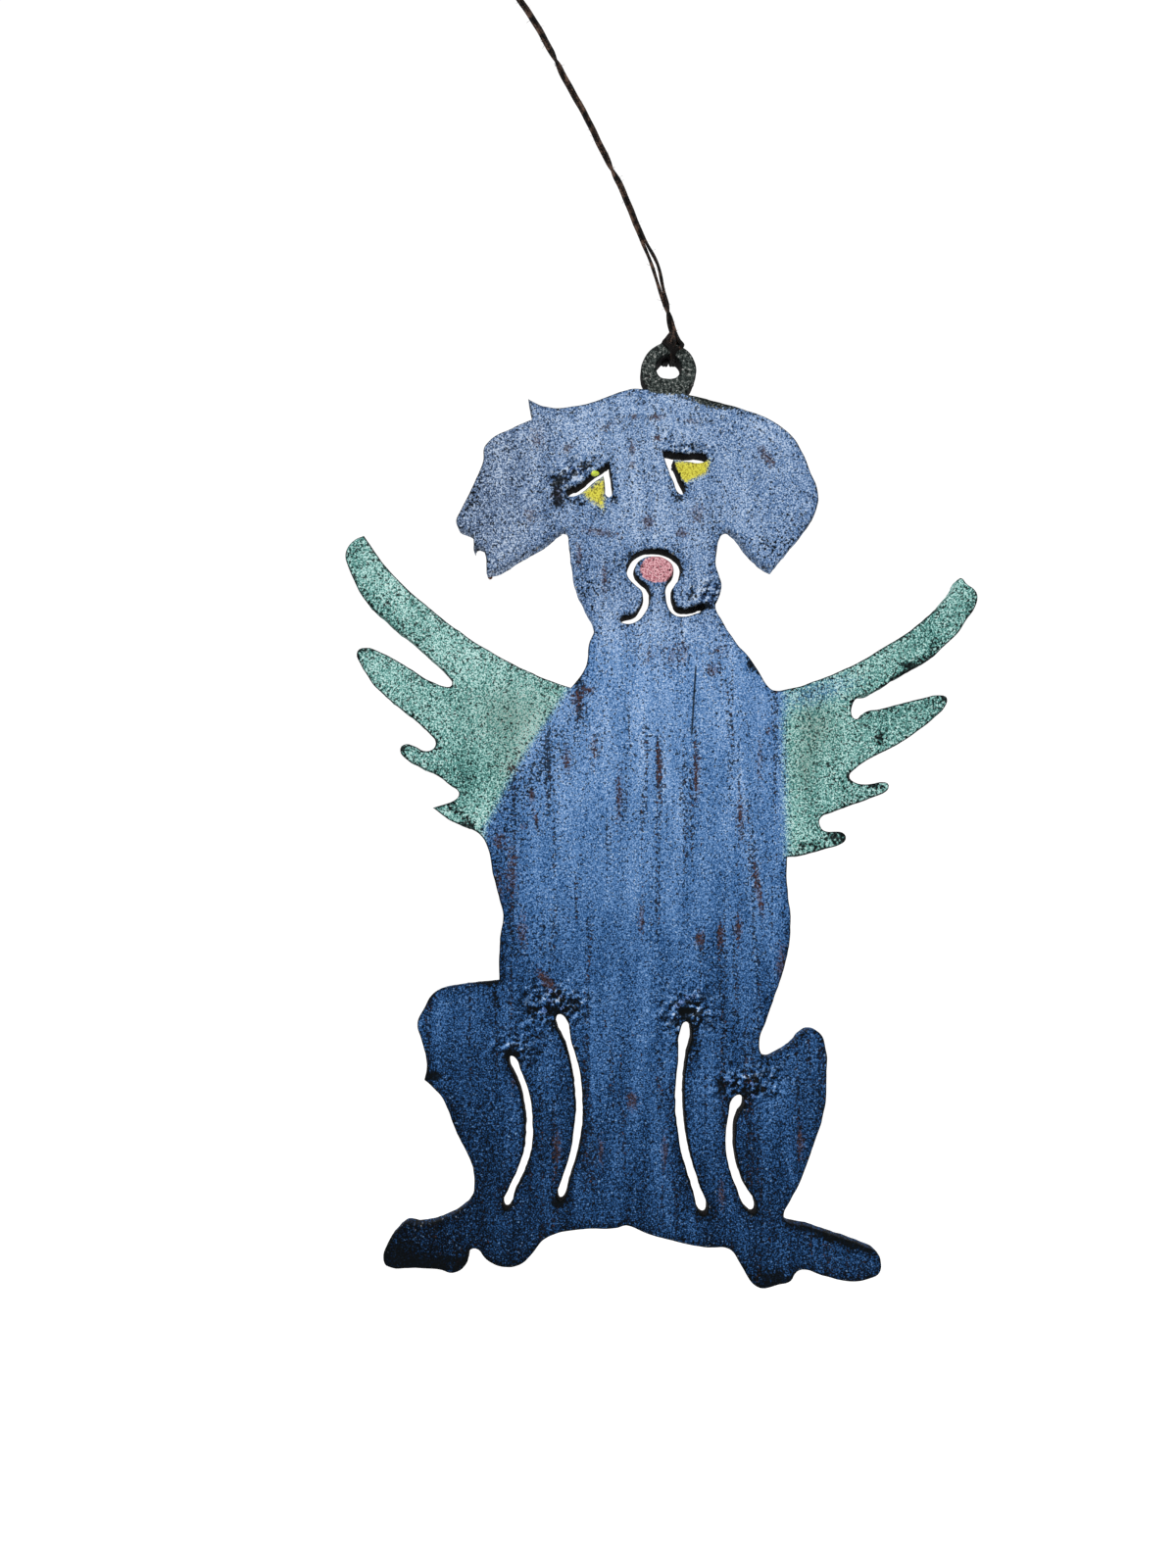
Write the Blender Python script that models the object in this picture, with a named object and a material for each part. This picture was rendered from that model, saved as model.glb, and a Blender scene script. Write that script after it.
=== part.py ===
"""A sitting dog with wings, torch-cut from one piece of scrap steel plate, on its hanging cord.

Lengths here are in millimetres and are turned to metres once, as each object is made.
X is to the right as one faces the dog, Y runs from front to back and Z is up. The origin
is the centre of the hole in the hanging eye, halfway through the plate, so the plate
stands in the XZ plane and hangs straight below its eye.
"""

import math

import bmesh
import bpy
import numpy as np

MM = 0.001

# Plate
PLATE_THICKNESS = 3.2
PLATE_CURVE_STEPS = 3
KERF = 1.15

# Hanging eye, an ear of the same plate
EYE_RADIUS = 1.85
RING_RADIUS = 4.05
RING_DROP = 0.4
RING_START = 222
RING_END = -36
RING_POINTS = 9
EYE_POINTS = 10

# Cord: two strands lying together
CORD_DIAMETER = 0.8
CORD_POINT_SPACING = 2.0
GAP = 0.3

# Hitch: the cord goes through the eye, up both faces of the ring, and gathers above it.
# Each section is the front half's, as inner left, inner right, outer right, outer left.
HITCH_SECTIONS = (
    ((-0.15, -1.9, 1.4), (0.75, -1.9, 1.4), (0.75, -2.3, 1.0), (-0.15, -2.3, 1.0)),
    ((-0.7, -1.9, 4.0), (2.2, -1.9, 3.7), (2.2, -2.3, 3.9), (-0.7, -2.3, 4.1)),
    ((-0.7, -0.6, 4.2), (2.2, -0.6, 3.9), (1.4, -0.4, 5.5), (0.5, -0.4, 5.5)),
)

# Far end of the cord: a knot, then a small loop for a hook
KNOT_RADIUS = 1.1
KNOT_SEGMENTS = 16
KNOT_RINGS = 10
LOOP_LENGTH = 9.0
LOOP_WIDTH = 4.2
LOOP_THROAT = 0.35
LOOP_POINTS = 24

SMOOTH, CORNER = "AUTO", "VECTOR"

# The plate's outline in x, z, from the left of the ring round by the dog's right side,
# its feet and its left side, back to the ring. Points after the word CORNER are sharp.
HEAD_TOP_LEFT = (
    (-6.0, -3.2), (-10.2, -4.7), (-13.7, -5.6), (-18.3, -5.7), CORNER, (-20.7, -4.6),
    CORNER, (-20.1, -7.6), (-23.2, -8.9), (-27.0, -11.4),
)
EAR_LEFT = (
    (-27.3, -13.6), (-28.7, -17.1), (-30.8, -21.3), (-31.3, -22.7), (-30.8, -23.6),
    (-29.6, -24.0), (-28.8, -24.6), (-28.7, -25.6), CORNER, (-28.7, -26.9),
    (-28.4, -26.2), CORNER, (-27.3, -26.4), (-26.9, -28.0), CORNER, (-26.8, -30.2),
    (-25.1, -29.8), (-22.3, -28.1), (-18.7, -26.1), (-16.6, -24.4), (-15.3, -23.7),
)
NECK_LEFT = (
    (-14.8, -25.2), (-14.4, -28.7), (-13.6, -32.5), (-12.4, -35.3), (-11.0, -38.6),
    (-11.7, -40.4), (-12.1, -43.7), (-12.8, -45.1), CORNER, (-14.4, -47.1),
)
WING_LEFT = (
    (-17.9, -45.9), (-22.1, -44.0), (-26.9, -41.4), (-31.1, -38.6), (-35.3, -35.3),
    (-38.8, -32.3), (-41.9, -29.0), (-43.9, -26.2), CORNER, (-44.9, -24.7),
    (-46.0, -25.2), (-47.3, -26.5), (-47.6, -27.9), (-47.3, -29.0), (-46.6, -30.8),
    (-45.4, -33.2), (-44.0, -35.1), (-41.9, -37.0), (-40.1, -38.7), (-37.9, -40.3),
    (-35.6, -42.4), (-33.6, -44.1), (-32.5, -45.4), (-31.9, -46.4), (-32.2, -46.9),
    (-33.1, -46.9), (-35.4, -46.0), (-38.7, -43.9), (-42.7, -41.8), (-44.9, -41.2),
    (-45.9, -41.8), (-45.4, -43.6), (-44.5, -45.2), (-42.8, -47.4), (-40.4, -49.5),
    (-37.1, -52.1), (-35.4, -53.7), (-34.3, -55.2), (-34.8, -56.2), (-35.9, -56.4),
    (-37.5, -55.7), (-39.1, -55.5), (-39.6, -56.3), (-38.6, -57.6), (-36.2, -59.0),
    (-33.6, -60.3), (-32.3, -61.4), (-31.0, -62.4), (-30.9, -62.9), (-31.6, -63.7),
    (-32.9, -64.2), CORNER, (-34.8, -64.8), (-32.6, -66.4), (-30.5, -67.4),
    (-28.4, -68.3), (-27.3, -69.4), (-26.6, -70.8),
)
FLANK_LEFT = (
    (-26.1, -73.2), (-25.8, -75.0), (-25.0, -77.9), (-24.4, -80.8), (-24.8, -83.7),
    (-25.0, -87.3), CORNER, (-25.0, -90.2),
)
HAUNCH_LEFT = (
    (-28.3, -90.6), (-31.4, -91.0), (-34.5, -92.0), (-36.1, -94.4), (-37.0, -96.3),
    (-36.3, -99.4), (-35.6, -102.9), CORNER, (-36.0, -104.9), (-33.6, -107.2),
    (-32.7, -108.9), (-31.2, -112.8), (-29.0, -117.4), (-28.6, -120.1), (-29.0, -122.1),
)
FEET_LEFT = (
    (-30.3, -123.7), (-33.3, -125.4), (-36.9, -126.2), (-38.7, -126.0), (-40.1, -127.2),
    (-41.4, -129.0), (-42.0, -131.5), (-41.5, -132.3), (-37.4, -132.6), (-33.9, -132.8),
    (-31.6, -133.3), (-29.7, -131.8), (-29.2, -129.9), (-28.2, -129.8), (-26.9, -131.3),
    (-24.0, -132.5), (-21.8, -132.1), (-20.2, -130.7), (-18.7, -128.7), (-16.6, -127.6),
)
BELLY = (
    (-13.7, -127.0), (-7.6, -126.7), (-6.1, -126.4), (-3.6, -127.4), (0.5, -128.6),
    (5.5, -129.6), (9.0, -129.9),
)
FEET_RIGHT = (
    (11.0, -132.8), (13.2, -135.5), (16.1, -135.1), (18.0, -134.5), (18.9, -133.2),
    (19.9, -132.9), (22.9, -133.8), (25.7, -134.5), (27.4, -134.6), (29.1, -134.3),
    (31.0, -133.4), (31.2, -131.4), (30.6, -130.3), (28.8, -129.4), (26.6, -128.6),
    (22.2, -127.1), (20.4, -126.5), (18.1, -126.1), (17.1, -125.5), (17.0, -124.6),
)
HAUNCH_RIGHT = (
    (17.6, -123.3), (19.3, -120.1), (21.4, -114.5), (23.0, -109.0), (23.3, -103.9),
    (23.1, -99.9), (22.3, -98.0), (20.7, -97.4), (19.6, -98.0), (18.1, -99.6),
    (15.9, -101.0), (14.2, -101.5),
)
FLANK_RIGHT = (
    (13.4, -100.1), (14.7, -95.3), (17.3, -87.3), (18.0, -81.5), (17.4, -75.7),
    CORNER, (17.5, -72.1),
)
WING_RIGHT = (
    (20.5, -71.6), (23.0, -70.9), (25.3, -70.2), (26.1, -69.4), (25.8, -68.6),
    (24.6, -68.3), (23.0, -68.2), (22.3, -67.4), (22.3, -66.4), (24.5, -65.3),
    (27.6, -64.2), (30.4, -63.1), (32.2, -62.2), (32.4, -61.3), (31.4, -61.0),
    (29.9, -61.3), (27.2, -61.0), (26.6, -60.2), (27.4, -59.1), (29.8, -57.5),
    (32.9, -55.9), (36.1, -53.9), (39.2, -51.5), (40.7, -49.9), (41.0, -48.6),
    (40.2, -48.2), (37.2, -48.7), (33.5, -49.6), (31.0, -50.3), (29.0, -50.7),
    (28.2, -51.5), (27.4, -51.7), (27.0, -51.1), (27.1, -49.7), (27.9, -48.5),
    (29.7, -48.0), (33.0, -46.0), (36.2, -44.2), (38.8, -42.6), (40.7, -40.9),
    (42.7, -38.9), (43.7, -37.3), (44.7, -36.0), (45.3, -34.8), (45.5, -34.0),
    (45.2, -32.9), (43.9, -31.8), (43.0, -30.9), (42.5, -31.3), (42.1, -32.3),
    (40.7, -34.1), (37.4, -37.3), (34.1, -39.7), (31.3, -41.4), (28.1, -43.3),
    (22.7, -45.7), (17.6, -47.3), (15.5, -47.5),
)
NECK_RIGHT = (
    (14.6, -46.8), (13.2, -44.5), (11.4, -42.0), (10.3, -40.9), (8.3, -37.9),
    (6.9, -34.8), (7.3, -34.0), (7.8, -32.1), (7.5, -30.6), (7.0, -29.2),
    (7.1, -26.9), (7.5, -25.0),
)
EAR_RIGHT = (
    (8.6, -23.6), (9.4, -24.1), (11.0, -26.0), (12.7, -27.9), (14.3, -29.3),
    CORNER, (15.3, -29.7), (16.8, -27.8), (19.1, -25.1), (20.7, -22.9), (21.6, -21.3),
    (22.1, -18.6), (21.0, -15.6), (19.2, -11.5),
)
HEAD_TOP_RIGHT = (
    (17.6, -9.5), (14.7, -7.5), (12.2, -6.5), (9.1, -5.5), (6.1, -4.7), (4.0, -4.2),
    CORNER, (2.5, -3.9),
)

# Centrelines of the cuts through the plate, in x, z
EYE_LEFT_LID = ((-14.5, -18.4), (-13.0, -17.8), (-11.2, -16.3), (-9.2, -14.9))
EYE_LEFT_SIDE = ((-8.9, -16.8), (-8.8, -18.5))
EYE_RIGHT_LID = ((5.2, -13.3), (2.5, -13.2), (-0.1, -12.9))
EYE_RIGHT_SIDE = ((0.6, -15.1), (1.3, -16.7), (1.9, -18.1))
NOSE_AND_MOUTH = (
    (-6.6, -37.1), (-5.1, -36.9), (-4.0, -35.8), (-3.2, -33.7), (-3.5, -32.5),
    (-4.5, -31.6), (-5.5, -30.3), (-5.4, -28.9), (-4.5, -27.8), (-2.2, -27.2),
    (0.1, -27.8), (1.3, -29.3), (1.1, -30.7), (0.2, -32.0), (0.1, -33.4),
    (0.4, -34.8), (1.1, -35.8), (2.6, -36.0), (3.8, -35.7), (4.9, -35.2),
)
LEG_CUTS = (
    ((-23.1, -101.9), (-22.3, -103.8), (-21.3, -106.4), (-20.7, -109.6), (-20.6, -112.9),
     (-21.0, -116.1), (-22.0, -118.9), (-23.3, -121.7), (-23.9, -123.5)),
    ((-16.0, -96.0), (-14.9, -99.1), (-13.8, -103.1), (-13.2, -108.1), (-13.4, -112.5),
     (-14.1, -116.4), (-15.3, -120.0), (-15.9, -122.3)),
    ((2.6, -97.0), (2.0, -102.0), (1.6, -107.4), (2.0, -112.5), (2.9, -117.1),
     (4.3, -121.4), (5.2, -124.3)),
    ((10.3, -108.0), (9.5, -110.2), (9.1, -113.5), (9.5, -117.2), (10.7, -120.7),
     (12.4, -124.1)),
)
LEG_KERFS = (1.15, 1.15, 1.25, 1.35)
PIERCES = (1.2, 1.6, 1.6, 1.9)

# The cord's route in x, y, z, from the hitch to its knot
CORD_ROUTE = (
    (0.8, 0.0, 5.85), (0.4, 0.0, 7.2), (-0.3, 0.1, 9.9), (-1.3, 0.2, 13.3),
    (-2.3, 0.3, 16.5), (-3.6, 0.4, 19.6), (-4.9, 0.4, 22.7), (-6.2, 0.4, 25.9),
    (-8.0, 0.3, 29.8), (-9.6, 0.2, 32.8), (-12.0, 0.0, 37.6), (-14.7, -0.1, 42.4),
    (-17.1, -0.2, 46.9), (-19.5, -0.1, 51.4), (-21.9, 0.0, 55.1), (-23.6, 0.0, 57.6),
)


def clear_scene():
    for obj in list(bpy.data.objects):
        bpy.data.objects.remove(obj, do_unlink=True)


def new_material(name, colour, roughness, metallic):
    material = bpy.data.materials.new(name)
    material.use_nodes = True
    shader = material.node_tree.nodes["Principled BSDF"]
    shader.inputs["Base Color"].default_value = (*colour, 1.0)
    shader.inputs["Roughness"].default_value = roughness
    shader.inputs["Metallic"].default_value = metallic
    return material


def add_object(name, data, collection, material):
    obj = bpy.data.objects.new(name, data)
    data.materials.append(material)
    collection.objects.link(obj)
    return obj


def marked(*runs):
    """The points of the runs as (x, z, handle type), read in order."""
    points = []
    handle = SMOOTH
    for run in runs:
        for entry in run:
            if entry == CORNER:
                handle = CORNER
                continue
            points.append((*entry, handle))
            handle = SMOOTH
    return points


def arc(radius, start, end, count, centre=(0.0, 0.0)):
    """Smooth points on a circle, between two angles in degrees, both included."""
    angles = np.radians(np.linspace(start, end, count))
    return [(centre[0] + radius * math.cos(a), centre[1] + radius * math.sin(a), SMOOTH)
            for a in angles]


def plate_outline():
    ring = arc(RING_RADIUS, RING_END, RING_START, RING_POINTS, (0.0, -RING_DROP))
    ring[-1] = (*ring[-1][:2], CORNER)
    return ring + marked(
        HEAD_TOP_LEFT, EAR_LEFT, NECK_LEFT, WING_LEFT, FLANK_LEFT, HAUNCH_LEFT, FEET_LEFT,
        BELLY, FEET_RIGHT, HAUNCH_RIGHT, FLANK_RIGHT, WING_RIGHT, NECK_RIGHT, EAR_RIGHT,
        HEAD_TOP_RIGHT,
    )


def eye_hole():
    return arc(EYE_RADIUS, 0, 360 * (1 - 1 / EYE_POINTS), EYE_POINTS)


def kerf(centreline, width=KERF, pierce=KERF, bend=None):
    """The closed outline that a torch leaves along a centreline, with round ends.

    The cut starts at a hole of the pierce's size. The point numbered bend is a sharp turn:
    the outline is mitred there.
    """
    line = np.array(centreline, float)
    steps = np.diff(line, axis=0)
    steps /= np.linalg.norm(steps, axis=1)[:, None]
    before = np.vstack([steps[:1], steps])
    after = np.vstack([steps, steps[-1:]])
    along = before + after
    along /= np.linalg.norm(along, axis=1)[:, None]
    across = np.column_stack([-along[:, 1], along[:, 0]])
    half = np.full(len(line), width / 2)
    half[0] = pierce / 2
    half /= np.sum(along * before, axis=1)
    kinds = [CORNER if index == bend else SMOOTH for index in range(len(line))]
    left = [(*p, k) for p, k in zip(line + across * half[:, None], kinds)]
    right = [(*p, k) for p, k in zip(line - across * half[:, None], kinds)]
    start_tip = (*(line[0] - along[0] * pierce / 2), SMOOTH)
    end_tip = (*(line[-1] + along[-1] * width / 2), SMOOTH)
    return [start_tip, *left, end_tip, *reversed(right)]


def face_and_leg_cuts():
    cuts = [
        kerf(EYE_LEFT_LID + EYE_LEFT_SIDE, bend=len(EYE_LEFT_LID) - 1),
        kerf(EYE_RIGHT_LID + EYE_RIGHT_SIDE, bend=len(EYE_RIGHT_LID) - 1),
        kerf(NOSE_AND_MOUTH),
    ]
    return cuts + [kerf(*cut) for cut in zip(LEG_CUTS, LEG_KERFS, PIERCES)]


def add_bezier(curve, points):
    """A closed spline of the curve through points given as (x, z, handle type)."""
    spline = curve.splines.new("BEZIER")
    spline.bezier_points.add(len(points) - 1)
    spline.use_cyclic_u = True
    for target, (x, z, handle) in zip(spline.bezier_points, points):
        target.co = (x * MM, z * MM, 0.0)
        target.handle_left_type = target.handle_right_type = handle
    return spline


def flat_curve(name, outlines, thickness, steps):
    """A flat shape with holes, as a filled 2D curve with half its thickness each way."""
    curve = bpy.data.curves.new(name, "CURVE")
    curve.dimensions = "2D"
    curve.fill_mode = "BOTH"
    curve.extrude = thickness / 2 * MM
    curve.resolution_u = steps
    for outline in outlines:
        add_bezier(curve, outline)
    return curve


def build_plate(collection):
    steel = new_material("painted_steel", (0.16, 0.28, 0.52), 0.7, 0.2)
    outlines = [plate_outline(), eye_hole(), *face_and_leg_cuts()]
    curve = flat_curve("dog_plate", outlines, PLATE_THICKNESS, PLATE_CURVE_STEPS)
    plate = add_object("dog_plate", curve, collection, steel)
    plate.rotation_euler = (math.pi / 2, 0.0, 0.0)


def build_hitch(collection, material):
    """The cord's turn through the eye: a band all round the ring, fanned out over its top."""
    front = [list(section) for section in HITCH_SECTIONS]
    back = [[(x, -y, z) for x, y, z in section] for section in reversed(front)]
    mesh = bpy.data.meshes.new("cord_hitch")
    form = bmesh.new()
    rings = [[form.verts.new((x * MM, y * MM, z * MM)) for x, y, z in section]
             for section in front + back]
    for this, following in zip(rings, rings[1:] + rings[:1]):
        for i in range(4):
            form.faces.new((this[i - 1], this[i], following[i], following[i - 1]))
    bmesh.ops.recalc_face_normals(form, faces=form.faces)
    form.to_mesh(mesh)
    form.free()
    add_object("cord_hitch", mesh, collection, material)


def smooth_path(route, spacing):
    """Points about so far apart on the natural cubic spline through the route's points."""
    points = np.array(route, float)
    gaps = np.linalg.norm(np.diff(points, axis=0), axis=1)
    knots = np.concatenate([[0.0], np.cumsum(gaps)])
    count = len(points)
    system = np.eye(count)
    slopes = np.zeros((count, 3))
    for i in range(1, count - 1):
        before, after = gaps[i - 1], gaps[i]
        system[i, i - 1:i + 2] = before, 2 * (before + after), after
        slopes[i] = 6 * ((points[i + 1] - points[i]) / after
                         - (points[i] - points[i - 1]) / before)
    bends = np.linalg.solve(system, slopes)
    path = []
    for at in np.linspace(0.0, knots[-1], round(knots[-1] / spacing) + 1):
        i = min(int(np.searchsorted(knots, at, side="right")) - 1, count - 2)
        gap, a, b = gaps[i], knots[i + 1] - at, at - knots[i]
        path.append((bends[i] * a**3 + bends[i + 1] * b**3) / (6 * gap)
                    + (points[i] / gap - bends[i] * gap / 6) * a
                    + (points[i + 1] / gap - bends[i + 1] * gap / 6) * b)
    return path


def tube_curve(name, path, diameter, closed=False):
    curve = bpy.data.curves.new(name, "CURVE")
    curve.dimensions = "3D"
    curve.bevel_depth = diameter / 2 * MM
    curve.bevel_resolution = 2
    curve.use_fill_caps = not closed
    spline = curve.splines.new("POLY")
    spline.points.add(len(path) - 1)
    spline.use_cyclic_u = closed
    for target, (x, y, z) in zip(spline.points, path):
        target.co = (x * MM, y * MM, z * MM, 1.0)
    return curve


def build_cord(collection, material):
    path = smooth_path(CORD_ROUTE, CORD_POINT_SPACING)
    curve = tube_curve("hanging_cord", path, CORD_DIAMETER)
    add_object("hanging_cord", curve, collection, material)
    return path[-1], path[-1] - path[-2]


def build_end(collection, material, end, heading):
    """The knot that gathers the two strands, and the loop beyond it, in line with the cord."""
    along = heading / np.linalg.norm(heading)
    across = np.array([along[2], 0.0, -along[0]])
    centre = end + along * (GAP + KNOT_RADIUS)
    bpy.ops.mesh.primitive_uv_sphere_add(segments=KNOT_SEGMENTS, ring_count=KNOT_RINGS,
                                         radius=KNOT_RADIUS * MM, location=tuple(centre * MM))
    knot = bpy.context.object
    knot.name = "cord_end_knot"
    knot.data.materials.append(material)
    for home in list(knot.users_collection):
        home.objects.unlink(knot)
    collection.objects.link(knot)
    foot = centre + along * (KNOT_RADIUS + GAP + CORD_DIAMETER / 2)
    loop = []
    for turn in np.linspace(0.0, 2 * math.pi, LOOP_POINTS, endpoint=False):
        rise = (1 - math.cos(turn)) / 2
        spread = math.sin(turn) * (LOOP_THROAT + (1 - LOOP_THROAT) * rise)
        loop.append(foot + along * LOOP_LENGTH * rise + across * LOOP_WIDTH / 2 * spread)
    curve = tube_curve("cord_end_loop", loop, CORD_DIAMETER, closed=True)
    add_object("cord_end_loop", curve, collection, material)


def main():
    clear_scene()
    collection = bpy.data.collections.new("winged_dog_ornament")
    bpy.context.scene.collection.children.link(collection)
    build_plate(collection)
    cord_material = new_material("dark_cord", (0.035, 0.025, 0.02), 0.55, 0.0)
    build_hitch(collection, cord_material)
    end, heading = build_cord(collection, cord_material)
    build_end(collection, cord_material, end, heading)


main()
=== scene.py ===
"""A sitting dog with wings, torch-cut from scrap steel plate, painted, and hung on dark twine.

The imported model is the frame: it gives the plate's outline and everything's place. Lengths in
the classes below are in millimetres, in the frame's own axes: X to the right as one faces the
dog, Y from the painted front to the back, Z up. They are turned to metres as a mesh is made.
"""

from __future__ import annotations

import logging
import math
from collections.abc import Iterable, Sequence
from dataclasses import dataclass, field
from enum import Enum

import bpy
import numpy as np
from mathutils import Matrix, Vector
from mathutils.geometry import delaunay_2d_cdt
from mathutils.kdtree import KDTree

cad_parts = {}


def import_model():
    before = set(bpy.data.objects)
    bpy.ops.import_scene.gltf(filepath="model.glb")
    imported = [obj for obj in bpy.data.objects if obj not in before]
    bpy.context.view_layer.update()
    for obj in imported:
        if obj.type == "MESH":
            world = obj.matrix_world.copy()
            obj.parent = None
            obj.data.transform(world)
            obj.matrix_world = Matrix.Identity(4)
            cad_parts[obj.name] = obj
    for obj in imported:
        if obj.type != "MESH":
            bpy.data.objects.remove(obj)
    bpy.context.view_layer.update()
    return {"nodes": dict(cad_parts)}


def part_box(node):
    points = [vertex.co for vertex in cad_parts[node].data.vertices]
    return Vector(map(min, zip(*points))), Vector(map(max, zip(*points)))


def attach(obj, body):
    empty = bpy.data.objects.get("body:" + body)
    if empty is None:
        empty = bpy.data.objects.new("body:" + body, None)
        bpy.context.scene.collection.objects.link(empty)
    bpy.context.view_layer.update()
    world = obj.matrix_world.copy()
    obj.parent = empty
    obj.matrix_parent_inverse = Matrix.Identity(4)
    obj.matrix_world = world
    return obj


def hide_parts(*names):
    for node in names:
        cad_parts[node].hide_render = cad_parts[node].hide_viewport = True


MM = 0.001
BODY = "root"
LOG = logging.getLogger("winged_dog")

Point = tuple[float, float, float]
Colour = tuple[float, float, float, float]
Stops = tuple[tuple[float, Colour], ...]
Array = np.ndarray
Material = bpy.types.Material
Piece = bpy.types.Object
Node = bpy.types.Node
Socket = bpy.types.NodeSocket
Source = Socket | float | Colour


class Slot(Enum):
    """The record's material slots."""

    STEEL = "painted_steel"
    CORD = "cord"


def shown(red: int, green: int, blue: int) -> Colour:
    """The linear colour of an sRGB one.

    Args:
        red: Red from 0 to 255.
        green: Green from 0 to 255.
        blue: Blue from 0 to 255.

    Returns:
        Linear red, green and blue, and an alpha of 1.
    """
    parts = [value / 255 for value in (red, green, blue)]
    linear = [p / 12.92 if p <= 0.04045 else ((p + 0.055) / 1.055) ** 2.4 for p in parts]
    return (*linear, 1.0)


def linked(name: str, data: bpy.types.ID) -> Piece:
    """Puts a new object into the scene.

    Args:
        name: The object's name.
        data: Its mesh, light or camera.

    Returns:
        The object.
    """
    thing = bpy.data.objects.new(name, data)
    bpy.context.scene.collection.objects.link(thing)
    return thing


def round_turn(count: int) -> Array:
    """Angles evenly spaced round a circle."""
    return np.linspace(0.0, 2 * math.pi, count, endpoint=False)


def lengths_along(path: Array) -> Array:
    """The length of a path up to each of its points."""
    steps = np.linalg.norm(np.diff(path, axis=0), axis=1)
    return np.concatenate([[0.0], np.cumsum(steps)])


def smooth_step(value: Array, low: float, high: float) -> Array:
    """Eased share of the way from low to high.

    Args:
        value: Any numbers.
        low: Where the share is 0.
        high: Where the share is 1.

    Returns:
        The share at each number, from 0 to 1.
    """
    share = np.clip((value - low) / (high - low), 0.0, 1.0)
    return share * share * (3 - 2 * share)


class Graph:
    """Adds nodes to a tree and wires them by value or by socket."""

    def __init__(self, tree: bpy.types.NodeTree) -> None:
        """Takes the shader or geometry tree to write in."""
        self.tree = tree

    def feed(self, node: Node, inputs: dict[int | str, object]) -> None:
        """Sets or links some inputs of a node.

        Args:
            node: The node.
            inputs: Value or source socket of each input, by name or number.
        """
        for key, value in inputs.items():
            if isinstance(value, Socket):
                self.tree.links.new(value, node.inputs[key])
            else:
                node.inputs[key].default_value = value

    def add(self, kind: str, inputs: dict[int | str, object], **settings: object) -> Node:
        """A new node.

        Args:
            kind: The node's type name.
            inputs: Value or source socket of each input, by name or number.
            settings: The node's own options.

        Returns:
            The node.
        """
        node = self.tree.nodes.new(kind)
        for name, value in settings.items():
            setattr(node, name, value)
        self.feed(node, inputs)
        return node

    def math(self, operation: str, a: Source, b: Source = 0.0) -> Socket:
        """The result of one sum on two numbers or sockets."""
        return self.add("ShaderNodeMath", {0: a, 1: b}, operation=operation).outputs[0]

    def times(self, a: Source, b: Source) -> Socket:
        """The product of two numbers or sockets."""
        return self.math("MULTIPLY", a, b)

    def sum(self, *terms: tuple[float, Source]) -> Socket:
        """The sum of some values, each given with its share.

        Args:
            terms: A share, and the number or socket that it multiplies.

        Returns:
            The sum.
        """
        total = 0.0
        for share, value in terms:
            total = self.add("ShaderNodeMath", {0: value, 1: share, 2: total},
                             operation="MULTIPLY_ADD").outputs[0]
        return total

    def centred(self, noise: Socket) -> Socket:
        """A noise's value, made to average about 0."""
        return self.math("SUBTRACT", noise, 0.5)

    def step(self, value: Source, low: float, high: float) -> Socket:
        """Eased share of the way from low to high, from 0 to 1."""
        inputs = {"Value": value, "From Min": low, "From Max": high}
        return self.add("ShaderNodeMapRange", inputs, interpolation_type="SMOOTHSTEP").outputs[0]

    def mix(self, share: Source, a: Source, b: Source) -> Socket:
        """Colour a changed to colour b by a share."""
        return self.add("ShaderNodeMix", {0: share, 6: a, 7: b}, data_type="RGBA").outputs[2]

    def noise(self, at: Socket, scale: float, detail: float = 2.0,
              roughness: float = 0.55) -> Socket:
        """Cloudy noise, about 0.5 on average.

        Args:
            at: Where to read it.
            scale: Features for each unit of length.
            detail: Finer layers.
            roughness: Share of the finer layers.

        Returns:
            The noise's value.
        """
        inputs = {"Vector": at, "Scale": scale, "Detail": detail, "Roughness": roughness}
        return self.add("ShaderNodeTexNoise", inputs).outputs["Fac"]

    def scaled(self, at: Socket, scale: Point) -> Socket:
        """A place with its axes stretched."""
        return self.add("ShaderNodeVectorMath", {0: at, 1: scale}, operation="MULTIPLY").outputs[0]

    def mask(self, name: str) -> Socket:
        """The value of a painted mask of the mesh."""
        return self.add("ShaderNodeAttribute", {}, attribute_name=name).outputs["Fac"]

    def ramp(self, share: Source, stops: Stops) -> Socket:
        """A colour from a row of colours.

        Args:
            share: Where to read the row, from 0 to 1.
            stops: Places and colours, in order.

        Returns:
            The colour.
        """
        node = self.add("ShaderNodeValToRGB", {"Fac": share})
        elements = node.color_ramp.elements
        for place, colour in stops[1:-1]:
            elements.new(place).color = colour
        elements[0].position, elements[0].color = stops[0]
        elements[-1].position, elements[-1].color = stops[-1]
        return node.outputs["Color"]


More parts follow.
